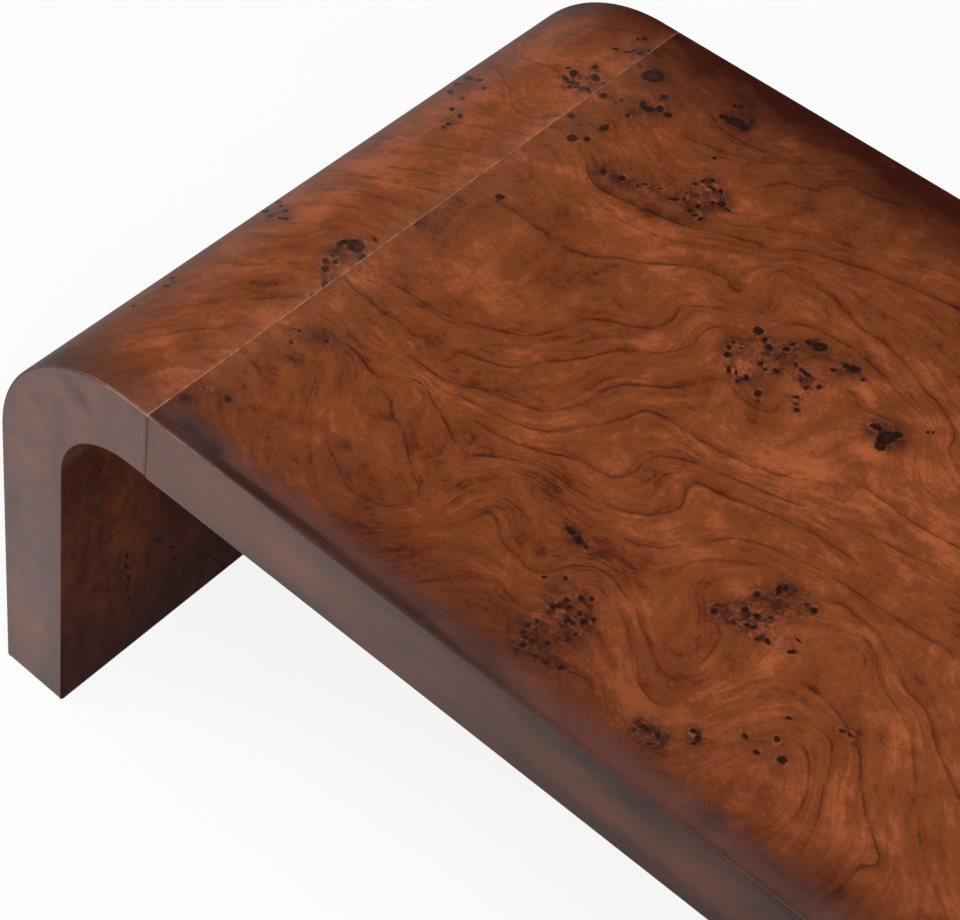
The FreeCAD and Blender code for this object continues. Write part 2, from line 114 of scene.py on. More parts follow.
def onBend(pixel):
    # run from the seam along the left unit's outer face, and y
    ray = rayThrough(pixel)
    start = camera["place"]
    flat = start + ray * ((topZ - start.z) / ray.z)
    if flat.x > -bendX:
        return -seamX - flat.x, flat.y
    a = ray.x ** 2 + ray.z ** 2
    b = (start.x + bendX) * ray.x + (start.z - bendZ) * ray.z
    c = (start.x + bendX) ** 2 + (start.z - bendZ) ** 2 - outerRadius ** 2
    point = start + ray * ((-b - math.sqrt(max(b * b - a * c, 0))) / a)
    angle = math.atan2(-(point.x + bendX), point.z - bendZ)
    return flatRun + outerRadius * angle, point.y


def onInnerLeg(pixel):
    # run from the seam along the left unit's inner face, and y
    ray = rayThrough(pixel)
    point = camera["place"] + ray * ((-legInX - camera["place"].x) / ray.x)
    return flatRun + innerRadius * math.pi / 2 + bendZ - point.z, point.y


def onLeftFront(pixel):
    # run from the seam along the left unit's front edge, and height over the slab's middle
    ray = rayThrough(pixel)
    point = camera["place"] + ray * ((-halfWidth - camera["place"].y) / ray.y)
    away, up = -point.x - bendX, point.z - bendZ
    middle = (outerRadius + innerRadius) / 2
    if up < 0:
        return flatRun + middle * math.pi / 2 - up, away - middle
    if away < 0:
        return flatRun + away, up - middle
    return flatRun + middle * math.atan2(away, up), math.hypot(away, up) - middle


def operator(operation, swap=False):
    def apply(self, value):
        return self.math(operation, value, self) if swap else self.math(operation, self, value)
    return apply


class Wire:
    # one socket of a node tree, for writing shader maths as Python expressions
    __add__ = operator("ADD")
    __radd__ = operator("ADD")
    __sub__ = operator("SUBTRACT")
    __rsub__ = operator("SUBTRACT", swap=True)
    __mul__ = operator("MULTIPLY")
    __rmul__ = operator("MULTIPLY")
    __truediv__ = operator("DIVIDE")
    __rtruediv__ = operator("DIVIDE", swap=True)
    larger = operator("MAXIMUM")

    def __init__(self, tree, socket=None):
        self.tree = tree
        self.socket = socket

    def node(self, kind, settings, links, out=0):
        made = self.tree.nodes.new(kind)
        for name, value in settings.items():
            setattr(made, name, value)
        for name, value in links.items():
            if isinstance(value, Wire):
                self.tree.links.new(value.socket, made.inputs[name])
            else:
                made.inputs[name].default_value = value
        return Wire(self.tree, made.outputs[out] if len(made.outputs) else None)

    def other(self, name):
        return Wire(self.tree, self.socket.node.outputs[name])

    def math(self, operation, *values):
        return self.node("ShaderNodeMath", {"operation": operation}, dict(enumerate(values)))

    def fraction(self):
        return self.math("FRACT", self)

    def fade(self, reach):
        return self.math("EXPONENT", self * (-1.0 / reach))

    def parts(self):
        split = self.node("ShaderNodeSeparateXYZ", {}, {0: self})
        return split, split.other("Y"), split.other("Z")

    def rise(self, low, high, bottom=0.0, top=1.0):
        ends = {"Value": self, "From Min": low, "From Max": high, "To Min": bottom, "To Max": top}
        return self.node("ShaderNodeMapRange", {"interpolation_type": "SMOOTHSTEP"}, ends)

    def kept(self):
        return self.node("ShaderNodeClamp", {}, {"Value": self})

    def stretched(self, x, y, z):
        return self.node("ShaderNodeVectorMath", {"operation": "MULTIPLY"}, {0: self, 1: (x, y, z)})

    def moved(self, offset):
        return self.node("ShaderNodeVectorMath", {"operation": "ADD"}, {0: self, 1: offset})

    def noise(self, scale, detail=3.0, roughness=0.5, distortion=0.0):
        links = {"Vector": self, "Scale": scale, "Detail": detail, "Roughness": roughness}
        return self.node("ShaderNodeTexNoise", {}, {**links, "Distortion": distortion})

    def cells(self, scale, feature="F1"):
        return self.node("ShaderNodeTexVoronoi", {"feature": feature}, {"Vector": self, "Scale": scale})


def mixColour(amount, first, second):
    # Mix node for colours: amount is a wire, first and second are wires or colours
    settings = {"data_type": "RGBA", "blend_type": "MIX", "clamp_factor": True}
    return amount.node("ShaderNodeMix", settings, {0: amount, 6: first, 7: second}, out=2)


def mixValue(amount, first, second):
    return amount.node("ShaderNodeMix", {"data_type": "FLOAT"}, {0: amount, 2: first, 3: second})


def joinXyz(x, y, z):
    given = [part for part in (x, y, z) if isinstance(part, Wire)][0]
    return given.node("ShaderNodeCombineXYZ", {}, {0: x, 1: y, 2: z})


def shade(red, green, blue):
    # colour on the 0 to 255 display scale, as linear RGBA
    def straight(value):
        part = value / 255
        return part / 12.92 if part <= 0.04045 else ((part + 0.055) / 1.055) ** 2.4
    return straight(red), straight(green), straight(blue), 1.0


def newMaterial(name):
    made = bpy.data.materials.new(name)
    made.use_nodes = True
    made.node_tree.nodes.clear()
    return made, Wire(made.node_tree)


def finishSurface(start, links):
    # Principled surface with the given sockets, joined to the output
    surface = start.node("ShaderNodeBsdfPrincipled", {}, links)
    start.node("ShaderNodeOutputMaterial", {}, {"Surface": surface})


def readAttribute(start, name):
    settings = {"attribute_type": "GEOMETRY", "attribute_name": name}
    return start.node("ShaderNodeAttribute", settings, {}, out=2)


def objectPoint(start):
    return start.node("ShaderNodeTexCoord", {}, {}, out=3)


burl = dict(
    deep=shade(76, 28, 10),         # dark figure
    body=shade(116, 56, 22),
    bright=shade(157, 80, 42),      # chatoyant patches
    line=shade(46, 17, 9),          # growth lines
    eye=shade(30, 9, 4),
    ring=shade(170, 98, 60),        # pale rim of an eye
    halo=shade(58, 25, 17),         # stain round the eyes
    heart=shade(54, 26, 18),        # middle of a wide eye
    toner=shade(88, 57, 49),        # toner sprayed on the front edges, warm and dark
    topToner=shade(93, 61, 58),     # on the top along its front edge
    legToner=shade(92, 63, 60),     # on the edges of the bent units
    coldToner=shade(50, 36, 34),
    burnt=shade(56, 12, 1),         # dark stain that runs in from the edges, also used as painted shade where the bend turns down
    innerBurnt=shade(45, 12, 6),    # the same on the inner faces, which hold less red: stain along their edges and painted shade over the rest
    rub=shade(176, 134, 112),       # painted highlight and sheen on the eased edges, the arris and the bend
    plain=0.54,                     # lightness, and how far each of the next six moves it
    patch=0.55,
    streak=1.3,
    cloud=1.1,
    mottle=0.6,
    fleck=0.36,
    fibre=0.3,
    lineCore=0.6,                   # mm over which a growth line's core fades
    lineShadow=3.4,                 # mm of shading on its dark side
    coreDark=0.56,
    shadowDark=0.28,
    ragged=(2.8, 2.2),              # mm that fine and coarse noise push the rim of an eye
    ringPale=0.34,
    roughness=0.34,
    specular=0.40,
    coat=0.10,
    coatRoughness=0.20,
)


def burlMaterial(name, seed=0.0, toned=0.85, gloss=1.0, lift=0.0, figured=1.0,
                 smear=(0.35, 1.0, 1.0), sprayed="toner", stained="burnt"):
    # toned, gloss and figured scale the toner, the lacquer and the figure, and lift moves the lightness;
    # smear stretches the blotches of the stain and painted shade, and sprayed and stained name colours of
    # the burl
    made, start = newMaterial(name)
    point = objectPoint(start).moved((seed, seed * 0.37, seed * 0.61))
    x, y, z = point.parts()
    names = ("grain", "pitch", "trace", "eye", "cluster", "tone", "toner", "burnt", "rub")
    grain, pitch, trace, eyeGap, cluster, tone, toner, burnt, rub = [readAttribute(start, n) for n in names]

    # growth lines: each whole number of the phase is one, and it wanders by some mm
    wander = (point.noise(55, 3, 0.55) - 0.5) * 3.8 + (point.noise(240, 2, 0.5) - 0.5) * 1.0
    phase = grain + wander * pitch
    before = (1.0 - phase.fraction()) / pitch          # mm to the line on its dark side
    after = phase.fraction() / pitch
    strength = trace * point.noise(44, 2, 0.5).rise(0.32, 0.60, 0.3, 1.0) * figured
    spread = point.noise(30, 2, 0.5).rise(0.3, 0.7, 0.55, 1.7)
    core = before.fade(burl["lineCore"]).larger(after.fade(0.4)) * strength
    shadow = (before * spread).fade(burl["lineShadow"]).larger(after.fade(0.9)) * strength

    # fine lines between them, in broken runs
    finePhase = grain * 4.0 + (point.noise(50, 4, 0.62) - 0.5) * 3.4
    fineGap = (1.0 - finePhase.fraction()) / (pitch * 4.0)
    fine = fineGap.fade(1.2) * point.noise(30, 2, 0.5).rise(0.46, 0.70) * figured

    # mottle that follows the flow, clouds, flecks and fibre
    streak = joinXyz(grain * 1.3, y * 3.0 + x * 16.0, z * 16.0).noise(2.2, 6, 0.66, 0.8)
    fibre = joinXyz(grain * 22.0, x * 90.0, z * 90.0).noise(1.0, 3, 0.6)
    cloud = point.noise(17, 4, 0.55, 0.8)
    mottle = point.noise(150, 4, 0.62, 0.5)
    fleck = point.noise(520, 2, 0.6)
    level = tone * burl["patch"] + (streak - 0.5) * burl["streak"] * figured
    level = level + (cloud - 0.5) * burl["cloud"] + (mottle - 0.5) * burl["mottle"]
    level = level + (fleck - 0.5) * burl["fleck"] + (fibre - 0.5) * burl["fibre"] * figured
    level = level + burl["plain"] + lift
    level = level - shadow * 0.26 - fine * 0.32
    wood = mixColour(level.rise(0.0, 0.55), burl["deep"], burl["body"])
    wood = mixColour(level.rise(0.5, 1.1), wood, burl["bright"])
    dark = shadow * burl["shadowDark"] + core * burl["coreDark"]
    wood = mixColour(dark.kept(), wood, burl["line"])

    # stain that runs in from the edges, and painted shade on the bend and the inner faces
    spray = point.stretched(*smear).noise(38, 4, 0.62)
    wood = mixColour((burnt * spray.rise(0.3, 0.7, 0.75, 1.25)).kept(), wood, burl[stained])

    # burl clusters: blotched stain, pin eyes, then the drawn eyes with ragged rims and a pale ring
    crowd = cluster.rise(0.15, 1.0)
    cellRim = point.cells(230, "DISTANCE_TO_EDGE").rise(0.22, 0.02)
    pins = point.cells(300).rise(0.36, 0.12) * crowd * point.noise(150, 1, 0.5).rise(0.46, 0.56)
    fineRim, coarseRim = burl["ragged"]
    ragged = eyeGap + (point.noise(560, 3, 0.65) - 0.5) * fineRim
    ragged = ragged + (point.noise(200, 2, 0.5) - 0.5) * coarseRim
    inEye = ragged.rise(0.4, -0.5)
    heart = ragged.rise(-2.6, -4.8)
    blotch = point.noise(90, 4, 0.65).rise(0.34, 0.62)
    near = ragged.larger(0.0).fade(1.8)
    stain = crowd * (blotch * 0.62 + cellRim * 0.25 + 0.08) + near * (blotch * 0.36 + 0.12)
    wood = mixColour(stain.kept(), wood, burl["halo"])
    ring = (ragged - 1.6) * (ragged - 1.6)
    pale = ring.fade(0.35) * mottle.rise(0.46, 0.62) * (1.0 - burnt) * burl["ringPale"]
    wood = mixColour(pale, wood, burl["ring"])
    speckle = point.noise(620, 3, 0.65).rise(0.42, 0.68)
    inside = mixColour((speckle * 0.42).kept(), burl["eye"], burl["deep"])
    inside = mixColour((heart * (0.5 + speckle * 0.5)).kept(), inside, burl["heart"])
    wood = mixColour((inEye * 0.95 + pins * 0.6).kept(), wood, inside)

    # toner sprayed over the edges under the lacquer, then a painted highlight and sheen over it
    cold = spray.rise(0.42, 0.75, 0.0, 0.5) + burnt * 0.7
    greys = mixColour(cold.kept(), burl[sprayed], burl["coldToner"])
    wood = mixColour((toner * spray.rise(0.25, 0.65, 0.82, 1.06) * toned).kept(), wood, greys)
    # painted highlight: glints on the arrises and seams, and sheen, mixed in as colour
    worn = rub * point.noise(130, 3, 0.6).rise(0.3, 0.6, 0.3, 1.0)
    wood = mixColour(worn.kept(), wood, burl["rub"])

    # satin lacquer: a faint orange peel, and the eyes telegraph through it
    height = point.noise(900, 2, 0.5) * 0.5 - inEye * 0.5 - core * 0.15
    bump = start.node("ShaderNodeBump", {}, {"Strength": 0.14, "Distance": 0.0002, "Height": height})
    rough = point.noise(60, 3, 0.6) * 0.10 + inEye * 0.06 + burnt * 0.05 + (burl["roughness"] - 0.05)
    finishSurface(start, {
        "Base Color": wood, "Roughness": rough, "IOR": 1.48, "Specular IOR Level": burl["specular"] * gloss,
        "Coat Weight": burl["coat"] * gloss, "Coat Roughness": burl["coatRoughness"], "Normal": bump,
    })
    return made


def latticeMesh(name, us, ws, place, backWs, fineCell, split=5):
    # a leaf on a grid of cells: fineCell picks those that are split, and their neighbours take the corners
    columns, rows = len(us) - 1, len(ws) - 1
    midU = (us[:-1] + us[1:]) / 2
    midW = (ws[:-1] + ws[1:]) / 2
    fine = fineCell(midU[:, None] + 0 * midW[None, :], midW[None, :] + 0 * midU[:, None])
    fine[0, :] = fine[-1, :] = False
    fine[:, 0] = fine[:, -1] = False
    index = {}
    lattice = []

    def corner(i, j):
        key = (i, j)
        if key not in index:
            index[key] = len(lattice)
            lattice.append(key)
        return index[key]

    def side(a, b, cut):
        # lattice corners from a towards b, without b
        steps = split if cut else 1
        di, dj = (b[0] - a[0]) // steps, (b[1] - a[1]) // steps
        return [corner(a[0] + di * k, a[1] + dj * k) for k in range(steps)]

    faces = []
    for i in range(columns):
        for j in range(rows):
            i0, i1, j0, j1 = i * split, (i + 1) * split, j * split, (j + 1) * split
            if fine[i, j]:
                for a in range(i0, i1):
                    for b in range(j0, j1):
                        around = ((a, b), (a + 1, b), (a + 1, b + 1), (a, b + 1))
                        faces.append(tuple(corner(*spot) for spot in around))
                continue
            loop = side((i0, j0), (i1, j0), j > 0 and fine[i, j - 1])
            loop += side((i1, j0), (i1, j1), i < columns - 1 and fine[i + 1, j])
            loop += side((i1, j1), (i0, j1), j < rows - 1 and fine[i, j + 1])
            loop += side((i0, j1), (i0, j0), i > 0 and fine[i - 1, j])
            faces.append(tuple(loop))
    keys = np.array(lattice, float) / split
    u = np.interp(keys[:, 0], np.arange(columns + 1), us)
    w = np.interp(keys[:, 1], np.arange(rows + 1), ws)
    front = place(u, w, 0.0)

    # back of the leaf: a strip for each column of cells, and walls to the front
    backU = np.repeat(us, len(backWs))
    backW = np.tile(backWs, len(us))
    back = place(backU, backW, leaf)
    first, across = len(front), len(backWs)
    for i in range(columns):
        for k in range(across - 1):
            a = first + i * across + k
            faces.append((a, a + 1, a + across + 1, a + across))
        low, high = first + i * across, first + (i + 1) * across
        faces.append((corner(i * split, 0), low, high, corner((i + 1) * split, 0)))
        low, high = low + across - 1, high + across - 1
        faces.append((corner((i + 1) * split, rows * split), high, low, corner(i * split, rows * split)))
    for i, turn in ((0, 1), (columns, -1)):
        edge = [corner(i * split, j * split) for j in range(rows + 1)]
        behind = [first + i * across + k for k in range(across)]
        faces.append(tuple((edge + behind[::-1])[::turn]))
    mesh = bpy.data.meshes.new(name)
    mesh.from_pydata(np.vstack([front, back]).tolist(), [], faces)
    mesh.validate()
    return mesh, np.concatenate([u, backU]), np.concatenate([w, backW])


def smoothStep(low, high, value):
    part = np.clip((value - low) / (high - low), 0, 1)
    return part * part * (3 - 2 * part)


def segmentsOf(lines):
    # level, start, end and strength of every straight piece of the drawn lines
    segments = []
    for level, strength, points in lines:
        for a, b in zip(points[:-1], points[1:]):
            if strength > 0:
                segments.append((level, np.array(a), np.array(b), strength))
    return segments


def traceOf(lines, u, w, grain, reach=9 * mm, base=0.3):
    # how strongly a line shows: full beside the drawn lines of its own level, faint elsewhere
    best = np.zeros(len(u))
    for level, a, b, strength in segmentsOf(lines):
        run = b - a
        along = np.clip(((u - a[0]) * run[0] + (w - a[1]) * run[1]) / (run @ run + 1e-12), 0, 1)
        gap = (u - a[0] - along * run[0]) ** 2 + (w - a[1] - along * run[1]) ** 2
        apart = np.clip(np.abs(grain - level) - 0.4, 0, None) / 0.25
        best = np.maximum(best, strength * np.exp(-gap / reach ** 2 - apart ** 2))
    return np.maximum(best, base)


def phaseThrough(lines, stiffness=2e-4):
    # thin-plate surface whose whole-number contours run along the drawn lines; it works in decimetres
    spots = np.array([point for row in lines for point in row[2]]) * 10
    levels = np.array([row[0] for row in lines for point in row[2]], float)

    def kernel(squared):
        return 0.5 * squared * np.log(squared + 1e-12)

    count = len(spots)
    apart = ((spots[:, None] - spots[None]) ** 2).sum(-1)
    system = np.zeros((count + 3, count + 3))
    system[:count, :count] = kernel(apart) + stiffness * np.eye(count)
    system[:count, count] = system[count, :count] = 1
    system[:count, count + 1:] = spots
    system[count + 1:, :count] = spots.T
    weights = np.linalg.solve(system, np.concatenate([levels, np.zeros(3)]))

    def phase(u, w):
        result = np.empty(len(u))
        for start in range(0, len(u), 4000):
            some = slice(start, start + 4000)
            part = np.stack([u[some], w[some]], 1) * 10
            near = kernel(((part[:, None] - spots[None]) ** 2).sum(-1))
            result[some] = near @ weights[:count] + weights[count] + part @ weights[count + 1:]
        return result
    return phase


def spotsIn(rng, count, us, ws):
    return np.stack([rng.uniform(*us, count), rng.uniform(*ws, count)], 1)


swell = dict(reach=(0.03, 0.10), push=(-1.9, 1.9), narrow=1.5)     # of an unseen leaf's figure


def swirlPhase(rng, us, ws, lines, swells, lean):
    # an unseen leaf's figure: so many lines to a metre along the leaf, pushed aside by rounded swells
    centres = spotsIn(rng, swells, us, ws)
    reach = rng.uniform(*swell["reach"], swells)
    push = rng.uniform(*swell["push"], swells)

    def phase(u, w):
        result = -lines * (w + lean * u)
        for centre, r, amount in zip(centres, reach, push):
            away = (u - centre[0]) ** 2 + ((w - centre[1]) * swell["narrow"]) ** 2
            result = result + amount * np.exp(-away / r ** 2)
        return result
    return phase


def eyeShapes(eyes, mapper, scale=0.78):
    # pixel ellipses (x, y, length, width, degrees) as leaf-plane centres and half axes
    shapes = []
    for eye in eyes:
        x, y = eye[:2]
        length = eye[2] * scale
        width = eye[3] * scale if len(eye) > 3 else length
        angle = math.radians(eye[4]) if len(eye) > 4 else 0.0
        centre = np.array(mapper((x, y)))
        tip = (x + length / 2 * math.cos(angle), y + length / 2 * math.sin(angle))
        flank = (x - width / 2 * math.sin(angle), y + width / 2 * math.cos(angle))
        shapes.append((centre, np.array(mapper(tip)) - centre, np.array(mapper(flank)) - centre))
    return shapes


def scatteredEyes(rng, centres, count, reach, size):
    # a cluster of made-up eyes about each centre
    shapes = []
    for centre in centres:
        for k in range(rng.integers(count[0], count[1] + 1)):
            spot = centre + rng.normal(0, reach, 2) * (1.0, 0.6)
            angle = rng.uniform(-0.6, 0.6)
            length = rng.uniform(size[0], size[1])
            width = length * rng.uniform(0.5, 0.95)
            along = np.array((math.cos(angle), math.sin(angle)))
            shapes.append((spot, along * length / 2, along[::-1] * (-1, 1) * width / 2))
    return shapes


crowding = dict(strength=0.20, reach=14 * mm, most=1.2)     # what each eye adds round itself


def eyeField(shapes, u, w):
    # signed gap in mm to the nearest eye, and how crowded the eyes are
    gap = np.full(len(u), 30.0)
    crowd = np.zeros(len(u))
    for centre, along, aside in shapes:
        du, dw = u - centre[0], w - centre[1]
        area = along[0] * aside[1] - along[1] * aside[0]
        p = (du * aside[1] - dw * aside[0]) / area
        q = (along[0] * dw - along[1] * du) / area
        size = math.sqrt(abs(area)) / mm
        gap = np.minimum(gap, (np.sqrt(p * p + q * q) - 1) * size)
        crowd += crowding["strength"] * np.exp(-(du ** 2 + dw ** 2) / crowding["reach"] ** 2)
    return gap, np.clip(crowd, 0, crowding["most"])


def placed(rows, mapper, scale):
    # pixel x, y, reach and strength put on a leaf; scale is the mm that a pixel of reach stands for
    return [(mapper((x, y)), reach * scale * mm, strength) for x, y, reach, strength in rows]


def drawnLines(rows, mapper):
    return [(level, strength, [mapper(point) for point in points]) for level, strength, points in rows]


def madePatches(rng, count, us, ws, reach, strength=(-0.6, 0.6)):
    rows = []
    for k in range(count):
        spot = (rng.uniform(*us), rng.uniform(*ws))
        rows.append((spot, rng.uniform(*reach), rng.uniform(*strength)))
    return rows


def patchTone(patches, u, w):
    # soft bright or dark patches: centre, reach in metres, strength
    total = np.zeros(len(u))
    for centre, reach, strength in patches:
        total += strength * np.exp(-((u - centre[0]) ** 2 + (w - centre[1]) ** 2) / reach ** 2)
    return total


def bell(distance, reach):
    return np.exp(-(distance / reach) ** 2)


def fadeIn(distance, reach, power=1.0):
    # 1 at an edge, fading inwards over the reach
    return np.exp(-(np.clip(distance, 0, None) / reach) ** power)


def putAttribute(mesh, name, values):
    layer = mesh.attributes.new(name, "FLOAT", "POINT")
    layer.data.foreach_set("value", np.ascontiguousarray(values, dtype=np.float32))


def dressLeaf(mesh, u, w, phase, shapes, patches, base, lines=(), smudges=(), **edges):
    # base is how strongly the lines show away from the drawn ones
    step = 0.5
    grain = phase(u, w)
    slopeU = (phase(u + step * mm, w) - grain) / step
    slopeW = (phase(u, w + step * mm) - grain) / step
    gap, crowd = eyeField(shapes, u, w)
    putAttribute(mesh, "grain", grain)
    putAttribute(mesh, "pitch", np.clip(np.hypot(slopeU, slopeW), 0.012, 0.6))
    putAttribute(mesh, "trace", traceOf(lines, u, w, grain, base=base))
    putAttribute(mesh, "eye", gap)
    putAttribute(mesh, "cluster", crowd + patchTone(smudges, u, w))
    putAttribute(mesh, "tone", patchTone(patches, u, w))
    for name in ("toner", "burnt", "rub"):
        putAttribute(mesh, name, np.clip(edges[name](u, w), 0, 1) if name in edges else np.zeros(len(u)))


def spaced(low, high, step):
    return np.linspace(low, high, max(2, int(round((high - low) / step)) + 1))


arris = dict(
    long=1.9 * mm,      # rounding of the long edges
    seam=0.9 * mm,      # easing of the two edges that meet at a seam
    foot=1.6 * mm,      # rounding where a leaf ends at the floor
    steps=5,
)
cell = dict(face=4.2 * mm, bend=4.0 * mm, edge=3.6 * mm)     # grid of the leaves
flatHalf = halfWidth - arris["long"]     # half width of the flat of a face leaf
acrossLeaf = (-0.3, 0.3)                 # where made-up figure lies across a face leaf
sideName = {-1: "left", 1: "right"}
faceName = {-1: "front", 1: "back"}


def crossLines(step):
    # grid lines across a face leaf: along the flat, then round each long edge
    turn = flatHalf + np.linspace(0, arris["long"] * math.pi / 2, arris["steps"] + 1)[1:]
    return np.concatenate([-turn[::-1], spaced(-flatHalf, flatHalf, step), turn])


def crossPlace(w, depth):
    # a point across the leaf as y and as drop below the face
    over = np.clip(np.abs(w) - flatHalf, 0, None) / arris["long"]
    inside = arris["long"] - depth
    y = np.sign(w) * (np.minimum(np.abs(w), flatHalf) + inside * np.sin(over))
    drop = depth + inside * (1 - np.cos(over))
    return y, drop


def easedEnd(distance, reach):
    # how far a rounded end falls away at this distance from it
    part = np.clip(distance / reach, 0, 1)
    return reach * (1 - np.sqrt(np.clip(1 - (1 - part) ** 2, 0, 1)))


def endLines(length, step, startReach, endReach):
    # grid lines along a leaf with closer ones over its rounded ends
    start = startReach * np.array([0, 0.08, 0.3, 0.6, 1.0])
    end = length - endReach * np.array([1.0, 0.6, 0.3, 0.08, 0])
    return np.concatenate([start[:-1], spaced(startReach, length - endReach, step), end[1:]])


def backLines():
    turn = flatHalf + np.linspace(0, arris["long"] * math.pi / 2, 3)
    return np.concatenate([-turn[::-1], turn])


def pathPoint(run, radius):
    # the bent unit's face at this run from the seam: x away from the seam, z, and the outward normal
    arc = radius * math.pi / 2
    angle = np.clip((run - flatRun) / radius, 0, math.pi / 2)
    flat = np.minimum(run, flatRun)
    fall = np.clip(run - flatRun - arc, 0, None)
    x = seamX + flat + radius * np.sin(angle)
    z = bendZ + radius * np.cos(angle) - fall
    return x, z, np.sin(angle), np.cos(angle)


def placeTop(u, w, depth):
    # u runs from the left seam to the right one
    length = 2 * seamX
    y, drop = crossPlace(w, depth)
    if depth == 0.0:
        drop = drop + easedEnd(np.minimum(u, length - u), arris["seam"])
    return np.stack([u - seamX, y, topZ - drop], 1)


def placeLeg(side, radius, facing):
    # facing 1 for the outer face of the bent unit, -1 for its inner face
    length = flatRun + radius * math.pi / 2 + bendZ - footZ

    def place(u, w, depth):
        y, drop = crossPlace(w, depth)
        if depth == 0.0:
            drop = drop + easedEnd(u, arris["seam"]) + easedEnd(length - u, arris["foot"])
        x, z, nx, nz = pathPoint(u, radius)
        return np.stack([side * (x - facing * nx * drop), y, z - facing * nz * drop], 1)
    return place, length


def lowOnArris(w):
    # 1 on the lower part of the rounded front arris, where the painted glint goes
    return smoothStep(flatHalf + 1.5 * mm, flatHalf + 2.4 * mm, -w)


def finishPiece(mesh, material, nodes, body="table"):
    shell = bmesh.new()
    shell.from_mesh(mesh)
    bmesh.ops.recalc_face_normals(shell, faces=shell.faces)
    shell.to_mesh(mesh)
    shell.free()
    mesh.shade_smooth()
    mesh.set_sharp_from_angle(angle=math.radians(38))
    mesh.materials.append(material)
    piece = bpy.data.objects.new(mesh.name, mesh)
    scene.collection.objects.link(piece)
    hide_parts(*nodes)
    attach(piece, body)


def nearEyes(shapes, margin):
    def pick(u, w):
        gap = eyeField(shapes, u.ravel(), w.ravel())[0]
        return (gap < margin).reshape(u.shape)
    return pick


